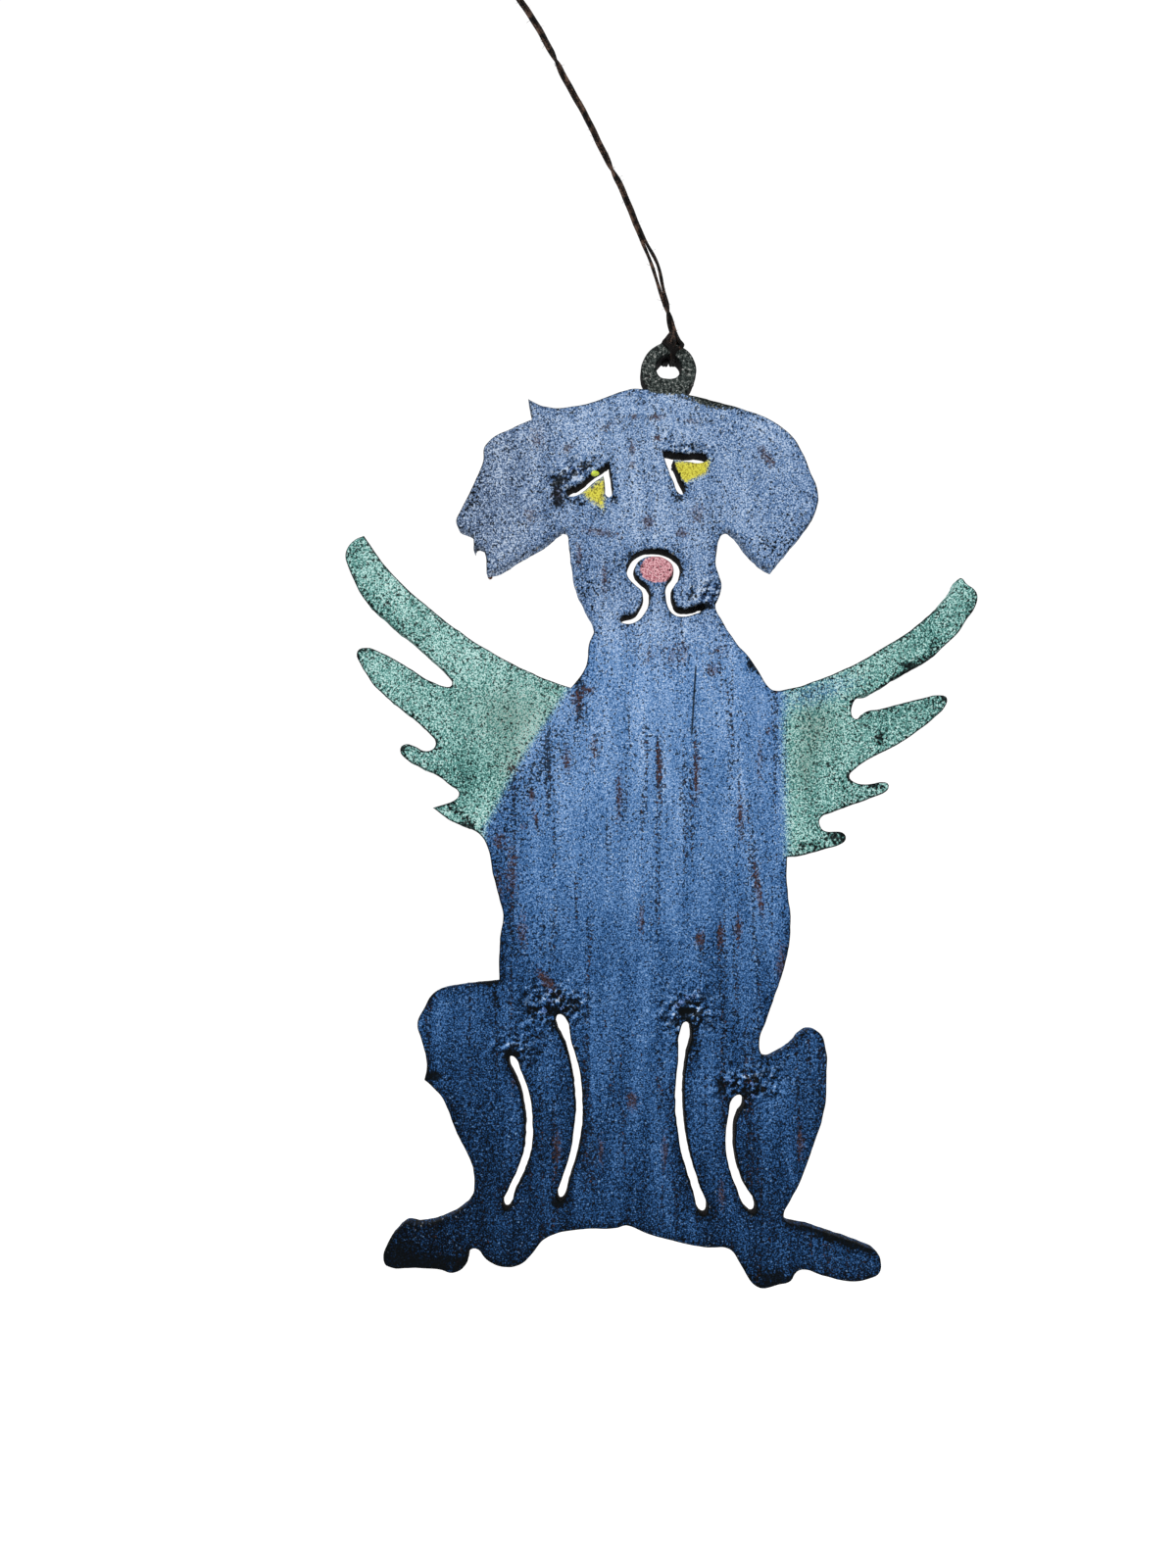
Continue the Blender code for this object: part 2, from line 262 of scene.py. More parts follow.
class Surface(Graph):
    """The graph of a new material with one principled shader."""

    def __init__(self, name: str) -> None:
        """Makes the material.

        Args:
            name: Its name.
        """
        self.material = bpy.data.materials.new(name)
        self.material.use_nodes = True
        super().__init__(self.material.node_tree)
        self.shader = self.tree.nodes["Principled BSDF"]

    def place(self, stretch: Point = (1.0, 1.0, 1.0)) -> Socket:
        """Place on the piece in millimetres, stretched along its axes."""
        place = self.add("ShaderNodeTexCoord", {}).outputs["Object"]
        return self.scaled(place, tuple(share / MM for share in stretch))

    def dress(self, colour: Socket, roughness: Source, shine: float,
              brightness: float = 0.54) -> None:
        """Gives the shader its colour, its roughness and its shine.

        Args:
            colour: The colour as it should look.
            roughness: How matt it is.
            shine: How strongly it mirrors.
            brightness: What is left of the colour, to suit the strength of the studio's light.
        """
        dimmer = {0: 1.0, 6: colour, 7: (brightness, brightness, brightness, 1.0)}
        base = self.add("ShaderNodeMix", dimmer, data_type="RGBA", blend_type="MULTIPLY").outputs[2]
        self.feed(self.shader, {
            "Base Color": base, "Roughness": roughness, "Specular IOR Level": shine})

    def bump(self, height: Socket, strength: float, relief: float) -> None:
        """Makes the shader's surface uneven.

        Args:
            height: The unevenness, as a height.
            strength: How strongly it shows.
            relief: Its depth in millimetres.
        """
        inputs = {"Strength": strength, "Distance": relief * MM, "Height": height}
        self.feed(self.shader, {"Normal": self.add("ShaderNodeBump", inputs).outputs[0]})


@dataclass(frozen=True)
class Tones:
    """Colours of the finishes, from dark to light where there are several."""

    blue: Stops = (
        (0.0, shown(2, 5, 11)), (0.14, shown(8, 27, 48)), (0.3, shown(22, 57, 99)),
        (0.46, shown(52, 95, 148)), (0.62, shown(86, 128, 180)), (0.8, shown(126, 162, 209)),
        (1.0, shown(190, 212, 242)),
    )
    mint: Stops = (
        (0.0, shown(4, 14, 14)), (0.2, shown(20, 54, 53)), (0.42, shown(58, 106, 102)),
        (0.6, shown(92, 150, 143)), (0.78, shown(130, 188, 180)), (1.0, shown(206, 238, 233)),
    )
    chalk: Stops = (
        (0.0, shown(14, 14, 14)), (0.5, shown(98, 98, 96)), (1.0, shown(212, 212, 210)),
    )
    bare: Stops = (
        (0.0, shown(8, 10, 10)), (0.3, shown(38, 45, 44)), (0.5, shown(66, 74, 72)),
        (0.75, shown(104, 110, 106)), (1.0, shown(182, 180, 178)),
    )
    back: Stops = (
        (0.0, shown(34, 28, 26)), (0.4, shown(78, 58, 50)), (0.65, shown(112, 70, 48)),
        (1.0, shown(144, 112, 90)),
    )
    olive: Colour = shown(110, 116, 100)
    rust: Colour = shown(90, 62, 60)
    rust_dark: Colour = shown(25, 21, 26)
    stain: Colour = shown(104, 90, 98)
    # Sooty black, used as well for painted shade in the slag crust's gaps and beside the nose.
    soot_and_shade: Colour = shown(6, 10, 12)
    wall: Colour = shown(10, 13, 13)
    yellow: Colour = shown(224, 218, 84)
    yellow_dark: Colour = shown(164, 150, 46)
    pink: Colour = shown(160, 84, 98)
    pink_light: Colour = shown(232, 180, 186)
    droplet: Colour = shown(180, 208, 40)
    slag_light: Colour = shown(120, 152, 206)
    slag_dark: Colour = shown(40, 74, 128)
    twine: Colour = shown(13, 11, 11)
    twine_light: Colour = shown(98, 76, 64)


TONES = Tones()


@dataclass(frozen=True)
class Speckle:
    """The noises that break up every layer of the plate's finish.

    Attributes:
        at: Place on the plate in millimetres, shortened in depth.
        grain: The fine speckle.
        pebble: The coarse speckle.
        dot: The speckle of the pits.
        cloud: Large soft blotches, drawn out downwards.
        streak: Narrow columns that the rust runs down.
    """

    at: Socket
    grain: Socket
    pebble: Socket
    dot: Socket
    cloud: Socket
    streak: Socket


@dataclass(frozen=True)
class SprayedPlate:
    """Thin sprayed paint on pitted plate, with rust, sooty spots, burnt edges, painted light and
    shade.
    """

    name: str = "sprayed_plate"
    roughness: float = 0.7
    shine: float = 0.03
    relief: float = 0.07
    bump_strength: float = 0.8
    wall_stretch: float = 0.3
    grain_scale: float = 4.6
    pebble_scale: float = 2.1
    dot_scale: float = 2.7
    fleck_scale: float = 2.6
    cloud_stretch: Point = (0.38, 0.38, 0.07)
    streak_stretch: Point = (0.9, 0.9, 0.05)
    crust_scale: float = 0.85
    # Painted light and shade on the slag crust: where its lumps are painted as lit from, and how
    # strongly.
    crust_painted_light_from: Point = (-0.18, 0.0, 0.38)
    crust_painted_light_strength: float = 4.1
    # Size of the crust's gaps, painted black as shade between its lumps.
    crust_shade_gap_scale: float = 1.1
    pit_edge: tuple[float, float] = (0.65, 0.71)
    stain_edge: tuple[float, float] = (0.3, 0.8)
    rust_edge: tuple[float, float] = (0.64, 0.71)
    rust_heart: tuple[float, float] = (0.77, 0.85)
    soot_edge: tuple[float, float] = (0.72, 0.84)
    back_from: tuple[float, float] = (0.93, 0.99)
    scratch_at: float = 6.62
    scratch_lean: float = 0.06
    scratch_width: tuple[float, float] = (0.2, 0.08)
    scratch_span: tuple[float, float] = (-54.6, -43.4)

    def material(self) -> Material:
        """Builds the finish from the plate's painted masks.

        Returns:
            The material.
        """
        graph = Surface(self.name)
        speckle = self.speckle(graph)
        at, pebble = speckle.at, speckle.pebble
        # Painted light and shade on the crust: lump sides facing up and left lighter, the others
        # darker.
        lit = graph.add("ShaderNodeVectorMath", {0: at, 1: self.crust_painted_light_from}, operation="ADD")
        lump, higher = (graph.noise(place, self.crust_scale, 1.6, 0.6)
                        for place in (at, lit.outputs[0]))
        upper = graph.times(graph.math("SUBTRACT", lump, higher), graph.mask("crust"))
        coarse = graph.times(graph.centred(pebble), graph.mask("coarse"))
        # The speckle's tone, with the crust's painted light and shade added.
        shade = graph.sum((1.7, graph.centred(speckle.grain)), (0.3, graph.centred(pebble)),
                          (0.35, coarse), (self.crust_painted_light_strength, upper))
        colour = self.paint(graph, speckle, shade)
        colour = self.wear_and_shade(graph, speckle, colour)
        colour = self.scratch(graph, speckle, colour)
        colour = self.walls(graph, speckle, colour)
        rough = graph.sum((0.2, graph.centred(pebble)), (1.0, self.roughness))
        graph.dress(colour, rough, self.shine)
        crust = graph.times(lump, graph.mask("crust"))
        height = graph.sum((0.6, pebble), (-1.2, speckle.dot), (3.0, crust))
        graph.bump(height, self.bump_strength, self.relief)
        return graph.material

    def speckle(self, graph: Surface) -> Speckle:
        """Makes the noises that the layers share.

        Args:
            graph: The material's graph.

        Returns:
            The noises.
        """
        at = graph.place((1.0, self.wall_stretch, 1.0))
        return Speckle(
            at=at,
            grain=graph.noise(at, self.grain_scale, 1.0, 0.5),
            pebble=graph.noise(at, self.pebble_scale, 1.0, 0.5),
            dot=graph.noise(at, self.dot_scale, 1.0, 0.6),
            cloud=graph.noise(graph.scaled(at, self.cloud_stretch), 1.0, 2.0),
            streak=graph.noise(graph.scaled(at, self.streak_stretch), 1.0, 1.0),
        )

    def paint(self, graph: Surface, speckle: Speckle, shade: Socket) -> Socket:
        """The colours that were sprayed on: blue coat, mint wings, yellow eyes and pink nose.

        Args:
            graph: The material's graph.
            speckle: The noises.
            shade: How much the speckle, and the crust's painted light and shade, lighten or darken
                the paint.

        Returns:
            The paint's colour.
        """
        grain, pebble, cloud = (graph.centred(noise)
                                for noise in (speckle.grain, speckle.pebble, speckle.cloud))
        crisp = graph.times(shade, graph.mask("chalk"))
        tone = graph.sum((1.0, graph.mask("tone")), (0.4, cloud), (0.78, shade), (0.9, crisp))
        blue = graph.mix(
            graph.mask("chalk"), graph.ramp(tone, TONES.blue), graph.ramp(tone, TONES.chalk))
        light = graph.sum((1.0, graph.mask("mint")), (0.3, cloud), (1.2, shade))
        olive = graph.times(graph.mask("olive"), graph.step(speckle.grain, 0.3, 0.7))
        mint = graph.mix(olive, graph.ramp(light, TONES.mint), TONES.olive)
        edge = graph.sum((1.0, graph.mask("wing")), (0.5, grain), (0.6, pebble))
        colour = graph.mix(graph.step(edge, 0.1, 0.9), blue, mint)
        yellow = graph.mix(graph.step(shade, 0.1, -0.25), TONES.yellow, TONES.yellow_dark)
        edge = graph.sum((1.0, graph.mask("yellow")), (1.0, grain), (0.6, pebble))
        colour = graph.mix(graph.step(edge, 0.2, 0.85), colour, yellow)
        pink = graph.mix(graph.step(speckle.grain, 0.36, 0.62), TONES.pink, TONES.pink_light)
        edge = graph.sum((1.0, graph.mask("pink")), (1.2, grain))
        return graph.mix(graph.step(edge, 0.4, 0.6), colour, pink)

    def wear_and_shade(self, graph: Surface, speckle: Speckle, colour: Socket) -> Socket:
        """Pits, rust flecks, bare steel, sooty spots and painted shade, each broken up by the
        speckle.

        Args:
            graph: The material's graph.
            speckle: The noises.
            colour: The paint's colour.

        Returns:
            The worn colour, with painted shade.
        """
        at, dot = speckle.at, speckle.dot
        grain, pebble = graph.centred(speckle.grain), graph.centred(speckle.pebble)
        chain = graph.times(graph.step(speckle.streak, 0.54, 0.66), graph.mask("streaks"))
        pits = graph.sum((1.0, dot), (0.2, graph.mask("speck")), (0.1, chain),
                         (-0.1, graph.centred(speckle.cloud)))
        colour = graph.mix(graph.times(graph.step(pits, *self.pit_edge), 0.85), colour, TONES.soot_and_shade)
        # The crust's gaps are painted black as shade between its lumps.
        gap = graph.step(graph.noise(at, self.crust_shade_gap_scale, 1.0), 0.46, 0.42)
        gap = graph.times(graph.times(gap, graph.mask("crust")), 0.95)
        colour = graph.mix(gap, colour, TONES.soot_and_shade)
        steel = graph.ramp(graph.sum((1.0, 0.42), (1.9, grain), (1.5, pebble)), TONES.bare)
        edge = graph.sum((1.0, graph.mask("bare")), (1.6, pebble))
        colour = graph.mix(graph.step(edge, 0.4, 0.6), colour, steel)
        stain = graph.step(graph.sum((1.0, graph.mask("rust")), (1.6, pebble)), *self.stain_edge)
        colour = graph.mix(graph.times(stain, 0.5), colour, TONES.stain)
        fleck = graph.noise(at, self.fleck_scale, 1.0, 0.65)
        rust = graph.sum((1.0, fleck), (0.28, graph.mask("rust")), (0.1, chain))
        faint = graph.sum((-1.0, graph.mask("chalk")), (1.0, 1.0))
        share = graph.times(graph.step(rust, *self.rust_edge), graph.times(faint, 0.8))
        colour = graph.mix(share, colour, TONES.rust_dark)
        tint = graph.mix(graph.step(speckle.grain, 0.4, 0.55), TONES.rust_dark, TONES.rust)
        colour = graph.mix(graph.times(graph.step(rust, *self.rust_heart), faint), colour, tint)
        soot_and_shade = graph.sum((1.0, dot), (0.35, grain), (0.5, graph.mask("soot_and_shade")))
        return graph.mix(graph.times(graph.step(soot_and_shade, *self.soot_edge), 0.92), colour, TONES.soot_and_shade)

    def scratch(self, graph: Surface, speckle: Speckle, colour: Socket) -> Socket:
        """One long thin scratch down the chest.

        Args:
            graph: The material's graph.
            speckle: The noises, of which it needs only the place.
            colour: The worn colour, with painted shade.

        Returns:
            The scratched colour.
        """
        x, _, z = graph.add("ShaderNodeSeparateXYZ", {0: speckle.at}).outputs
        line = graph.sum((1.0, x), (-self.scratch_lean, z), (1.0, -self.scratch_at))
        thin = graph.step(graph.math("ABSOLUTE", line), *self.scratch_width)
        low, high = self.scratch_span
        span = graph.times(graph.step(z, low, low + 1), graph.step(z, high, high - 1))
        return graph.mix(graph.times(graph.times(thin, span), 0.9), colour, TONES.soot_and_shade)

    def walls(self, graph: Surface, speckle: Speckle, colour: Socket) -> Socket:
        """Burnt cut walls that the spray half covered, a thin burnt rim and a rusty back.

        Args:
            graph: The material's graph.
            speckle: The noises.
            colour: The worn colour, with painted shade.

        Returns:
            The plate's colour.
        """
        pebble, depth = speckle.pebble, graph.mask("depth")
        reach = graph.sum((1.0, graph.mask("coat")), (-1.0, depth), (0.5, graph.centred(pebble)))
        wall = graph.mix(graph.step(pebble, 0.45, 0.65), TONES.wall, TONES.rust_dark)
        colour = graph.mix(graph.step(reach, -0.05, 0.05), wall, colour)
        rusty = graph.ramp(graph.sum((0.5, speckle.cloud), (0.5, pebble)), TONES.back)
        colour = graph.mix(graph.step(depth, *self.back_from), colour, rusty)
        line = graph.sum((1.0, graph.mask("rim")), (0.25, graph.centred(speckle.grain)))
        burnt = graph.times(graph.step(line, 0.3, 0.1), graph.mask("burn"))
        return graph.mix(burnt, colour, TONES.soot_and_shade)


@dataclass(frozen=True)
class WaxedTwine:
    """Dark waxed twine with brown fibres where the wax has worn, kept dark where shade is painted
    on.
    """

    name: str = "waxed_twine"
    turns: float = 2.2
    plies: int = 3
    roughness: float = 0.6
    shine: float = 0.06
    relief: float = 0.05

    def material(self) -> Material:
        """Builds the finish from each strand's own lengthwise map.

        Returns:
            The material.
        """
        graph = Surface(self.name)
        strand = graph.add("ShaderNodeUVMap", {}, uv_map="strand").outputs[0]
        around, along, _ = graph.add("ShaderNodeSeparateXYZ", {0: strand}).outputs
        lay = graph.sum((self.turns, along), (1.0, around))
        ply = graph.math("SINE", graph.times(lay, self.plies * 2 * math.pi))
        at = graph.place()
        fuzz = graph.noise(at, 5.0, 2.0, 0.7)
        worn = graph.centred(graph.noise(at, 0.9, 1.0))
        # The brown shows where the wax is worn and is held back where shade is painted on.
        share = graph.sum((1.0, fuzz), (0.9, worn), (0.26, graph.mask("wear_and_shade")))
        colour = graph.mix(graph.step(share, 0.66, 0.9), TONES.twine, TONES.twine_light)
        graph.dress(colour, self.roughness, self.shine)
        graph.bump(graph.sum((1.0, ply), (1.2, fuzz)), 0.7, self.relief)
        return graph.material


@dataclass(frozen=True)
class SlagCrust:
    """Cooled beads of torch slag, scaly and black, in part covered by spray or rust."""

    name: str = "slag_crust"
    light: Colour = TONES.slag_light
    dark: Colour = TONES.slag_dark
    roughness: float = 0.6
    shine: float = 0.06
    relief: float = 0.08

    def material(self) -> Material:
        """Builds the finish.

        Returns:
            The material.
        """
        graph = Surface(self.name)
        at = graph.place()
        scale = graph.noise(at, 2.6, 2.0, 0.65)
        paint = graph.mix(graph.step(graph.noise(at, 4.0, 1.0), 0.4, 0.62), self.dark, self.light)
        share = graph.sum((1.0, scale), (0.5, graph.mask("painted")))
        colour = graph.mix(graph.step(share, 0.7, 0.8), TONES.soot_and_shade, paint)
        graph.dress(colour, self.roughness, self.shine)
        graph.bump(scale, 0.6, self.relief)
        return graph.material


@dataclass(frozen=True)
class WetPaint:
    """A bead of glossy paint that ran into a cut."""

    name: str = "paint_droplet"
    roughness: float = 0.25
    shine: float = 0.5
    brightness: float = 0.7

    def material(self) -> Material:
        """Builds the finish.

        Returns:
            The material.
        """
        graph = Surface(self.name)
        streaks = graph.step(graph.noise(graph.place(), 3.0, 2.0), 0.4, 0.65)
        colour = graph.mix(streaks, TONES.droplet, TONES.yellow_dark)
        graph.dress(colour, self.roughness, self.shine, self.brightness)
        return graph.material


@dataclass(frozen=True)
class Softbox:
    """A square soft light.

    Attributes:
        name: The light's name.
        at: Where it stands.
        side: How wide it is.
        power: Its power in watts.
        target: The point that it faces.
    """

    name: str
    at: Point
    side: float
    power: float
    target: Point = (-2.0, 0.0, -65.0)

    def build(self) -> None:
        """Hangs the light in the scene."""
        data = bpy.data.lights.new(self.name, "AREA")
        data.size = self.side * MM
        data.energy = self.power
        light = linked(self.name, data)
        light.location = [value * MM for value in self.at]
        facing = Vector(self.target) - Vector(self.at)
        light.rotation_euler = facing.to_track_quat("-Z", "Y").to_euler()


@dataclass(frozen=True)
class Studio:
    """The camera, a plain pale floor and soft light."""

    camera_at: Point = (-11.88, -174.6, -77.6)
    lens: float = 27.0
    sensor_width: float = 36.0
    frame_rise: float = 0.0706
    nearest: float = 10.0
    floor_side: float = 12000.0
    floor_height: float = -430.0
    white: Colour = (1.0, 1.0, 1.0, 1.0)
    sky: float = 1.06
    key: Softbox = Softbox("key", (-520.0, -480.0, 620.0), 300.0, 10.0)
    fill: Softbox = Softbox("fill", (700.0, -500.0, -100.0), 500.0, 1.5)

    def camera(self) -> None:
        """Sets up the camera, square on to the plate, as the photograph was taken."""
        data = bpy.data.cameras.new("camera")
        data.lens = self.lens
        data.sensor_width = self.sensor_width
        data.shift_y = self.frame_rise
        data.clip_start = self.nearest * MM
        camera = linked("camera", data)
        camera.location = [value * MM for value in self.camera_at]
        camera.rotation_euler = (math.pi / 2, 0.0, 0.0)
        bpy.context.scene.camera = camera

    def floor(self) -> None:
        """Lays the plain pale floor, well below the hanging plate."""
        side, height = self.floor_side * MM / 2, self.floor_height * MM
        mesh = bpy.data.meshes.new("floor")
        corners = [(-side, -side, height), (side, -side, height), (side, side, height),
                   (-side, side, height)]
        mesh.from_pydata(corners, [], [(0, 1, 2, 3)])
        floor = linked("floor", mesh)
        pale = Surface("pale_floor")
        pale.feed(pale.shader, {
            "Base Color": self.white, "Roughness": 0.9, "Specular IOR Level": 0.0})
        mesh.materials.append(pale.material)

    def lights(self) -> None:
        """Sets up pale surroundings, a key light at the upper left and a weak fill."""
        world = bpy.data.worlds.new("pale_surroundings")
        world.use_nodes = True
        graph = Graph(world.node_tree)
        graph.feed(world.node_tree.nodes["Background"], {"Color": self.white, "Strength": self.sky})
        bpy.context.scene.world = world
        self.key.build()
        self.fill.build()

    def build(self) -> None:
        """Sets the whole studio up."""
        self.camera()
        self.floor()
        self.lights()
        bpy.context.scene.view_settings.view_transform = "Standard"


class MeshMaker:
    """Makes finished pieces of the object from plain numbers."""

    @staticmethod
    def piece(name: str, points: Array, faces: Iterable, material: Material,
              uvs: Array | None = None) -> Piece:
        """A smooth mesh object at the origin.

        Args:
            name: The piece's name.
            points: Its points in millimetres.
            faces: Its faces, as rows of point numbers.
            material: Its finish.
            uvs: One map point for each corner of each face, for twine.

        Returns:
            The object, linked to the scene.
        """
        mesh = bpy.data.meshes.new(name)
        mesh.from_pydata((np.asarray(points) * MM).tolist(), [], [list(map(int, f)) for f in faces])
        mesh.validate()
        if uvs is not None:
            layer = mesh.uv_layers.new(name="strand")
            layer.data.foreach_set("uv", uvs.astype(np.float32).ravel())
        mesh.shade_smooth()
        mesh.materials.append(material)
        return linked(name, mesh)

    @staticmethod
    def set_mask(mesh: bpy.types.Mesh, name: str, values: Array) -> None:
        """Keeps a painted mask on a mesh's points."""
        mesh.attributes.new(name, "FLOAT", "POINT").data.foreach_set(
            "value", values.astype(np.float32))


def settle(piece: Piece, slot: Slot, *nodes: str) -> Piece:
    """Says what a finished piece rides on and stands for.

    Args:
        piece: The finished piece.
        slot: The record's slot of its finish; not used.
        nodes: The nodes that it replaces.

    Returns:
        The piece.
    """
    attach(piece, BODY)
    if nodes:
        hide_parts(*nodes)
    LOG.info("%s: %d faces", piece.name, len(piece.data.polygons))
    return piece


class Growth:
    """A geometry node tree that grows small parts on a mesh, then made into a plain piece."""

    FULL_TURN = 6.28
    LUMP_SCALE = 2.4
    LUMP_HEIGHT = 0.7

    def __init__(self, name: str, **settings: float) -> None:
        """Starts the tree.

        Args:
            name: The name of the tree and of its piece.
            settings: The tree's named inputs and their values.
        """
        self.name = name
        self.tree = bpy.data.node_groups.new(name, "GeometryNodeTree")
        self.graph = Graph(self.tree)
        self.settings: dict[str, float] = {}
        for way in ("INPUT", "OUTPUT"):
            self.tree.interface.new_socket("Geometry", in_out=way, socket_type="NodeSocketGeometry")
        for title, value in settings.items():
            kind = "NodeSocketInt" if isinstance(value, int) else "NodeSocketFloat"
            socket = self.tree.interface.new_socket(title, in_out="INPUT", socket_type=kind)
            self.settings[socket.identifier] = value
        self.start = self.graph.add("NodeGroupInput", {})

    def value(self, title: str) -> Socket:
        """A named input of the tree."""
        return self.start.outputs[title]

    def random(self, low: Point, high: Point, stream: int) -> Socket:
        """A random vector for each part, from a stream of its own."""
        inputs = {0: low, 1: high, "Seed": self.graph.math("ADD", self.value("seed"), stream)}
        return self.graph.add(
            "FunctionNodeRandomValue", inputs, data_type="FLOAT_VECTOR").outputs[0]

    def place(self) -> Socket:
        """Where each point lies, in millimetres."""
        place = self.graph.add("GeometryNodeInputPosition", {}).outputs[0]
        return self.graph.scaled(place, (1 / MM,) * 3)

    def lengthened(self, vector: Socket, share: Socket) -> Socket:
        """A vector with its length multiplied by a share."""
        inputs = {0: vector, "Scale": share}
        return self.graph.add("ShaderNodeVectorMath", inputs, operation="SCALE").outputs[0]

    def painted(self, parts: Socket, stream: int) -> Socket:
        """Parts that each keep how much spray they caught, from 0 to 1.

        Args:
            parts: The parts, still instances.
            stream: The random stream of their shares.

        Returns:
            The parts with their share as an attribute.
        """
        share = self.random((0.0,) * 3, (1.0,) * 3, stream)
        first = self.graph.add("ShaderNodeSeparateXYZ", {0: share}).outputs[0]
        inputs = {"Geometry": parts, "Name": "painted", "Value": first}
        return self.graph.add("GeometryNodeStoreNamedAttribute", inputs, data_type="FLOAT",
                              domain="INSTANCE").outputs[0]

    def beads(self, spots: Socket, low: float, high: float) -> Socket:
        """Lumpy beads of random size and turn.

        Args:
            spots: Points to put them on.
            low: Radius of the smallest in millimetres.
            high: Radius of the largest.

        Returns:
            Their geometry.
        """
        graph = self.graph
        inputs = {"Radius": MM, "Subdivisions": self.value("detail")}
        ball = graph.add("GeometryNodeMeshIcoSphere", inputs).outputs[0]
        size = self.random((low,) * 3, (high,) * 3, 2)
        placed = graph.add("GeometryNodeInstanceOnPoints", {
            "Points": spots, "Instance": ball,
            "Rotation": self.random((0.0,) * 3, (self.FULL_TURN,) * 3, 1),
            "Scale": self.lengthened(size, self.value("size"))}).outputs[0]
        real = graph.add("GeometryNodeRealizeInstances", {0: self.painted(placed, 3)}).outputs[0]
        lumps = graph.centred(graph.noise(self.place(), self.LUMP_SCALE, 1.0))
        normal = graph.add("GeometryNodeInputNormal", {}).outputs[0]
        push = self.lengthened(normal, graph.times(lumps, self.LUMP_HEIGHT * MM))
        return graph.add("GeometryNodeSetPosition", {"Geometry": real, "Offset": push}).outputs[0]

    def bake(self, base: bpy.types.Mesh, grown: Socket, material: Material) -> Piece:
        """Runs the tree on a mesh and keeps what it grew as a plain piece.

        Args:
            base: The mesh that the parts grow on.
            grown: The parts.
            material: Their finish.

        Returns:
            The piece, without any modifier.
        """
        real = self.graph.add("GeometryNodeRealizeInstances", {0: grown}).outputs[0]
        smooth = self.graph.add("GeometryNodeSetShadeSmooth", {"Geometry": real}).outputs[0]
        finish = self.graph.add("GeometryNodeSetMaterial", {
            "Geometry": smooth, "Material": material})
        self.graph.add("NodeGroupOutput", {0: finish.outputs[0]})
        piece = linked(self.name, base)
        modifier = piece.modifiers.new(self.name, "NODES")
        modifier.node_group = self.tree
        for identifier, value in self.settings.items():
            modifier[identifier] = value
        depsgraph = bpy.context.evaluated_depsgraph_get()
        mesh = bpy.data.meshes.new_from_object(piece.evaluated_get(depsgraph), depsgraph=depsgraph)
        piece.modifiers.clear()
        piece.data = mesh
        mesh.name = self.name
        return piece


class Route:
    """A natural cubic spline through given points."""

    def __init__(self, points: Sequence[Point]) -> None:
        """Works the spline out.

        Args:
            points: The points that it goes through.
        """
        self.points = np.array(points, float)
        self.gaps = np.linalg.norm(np.diff(self.points, axis=0), axis=1)
        self.knots = lengths_along(self.points)
        count = len(self.points)
        system, slopes = np.eye(count), np.zeros((count, 3))
        for i in range(1, count - 1):
            before, after = self.gaps[i - 1], self.gaps[i]
            system[i, i - 1:i + 2] = before, 2 * (before + after), after
            slopes[i] = 6 * ((self.points[i + 1] - self.points[i]) / after
                             - (self.points[i] - self.points[i - 1]) / before)
        self.bends = np.linalg.solve(system, slopes)

    def sampled(self, spacing: float) -> Array:
        """Points along the spline.

        Args:
            spacing: About how far apart they lie.

        Returns:
            The points, both ends included.
        """
        at = np.linspace(0.0, self.knots[-1], max(2, round(self.knots[-1] / spacing) + 1))
        i = np.clip(np.searchsorted(self.knots, at, side="right") - 1, 0, len(self.gaps) - 1)
        gap = self.gaps[i][:, None]
        a, b = (self.knots[i + 1] - at)[:, None], (at - self.knots[i])[:, None]
        return ((self.bends[i] * a**3 + self.bends[i + 1] * b**3) / (6 * gap)
                + (self.points[i] / gap - self.bends[i] * gap / 6) * a
                + (self.points[i + 1] / gap - self.bends[i + 1] * gap / 6) * b)


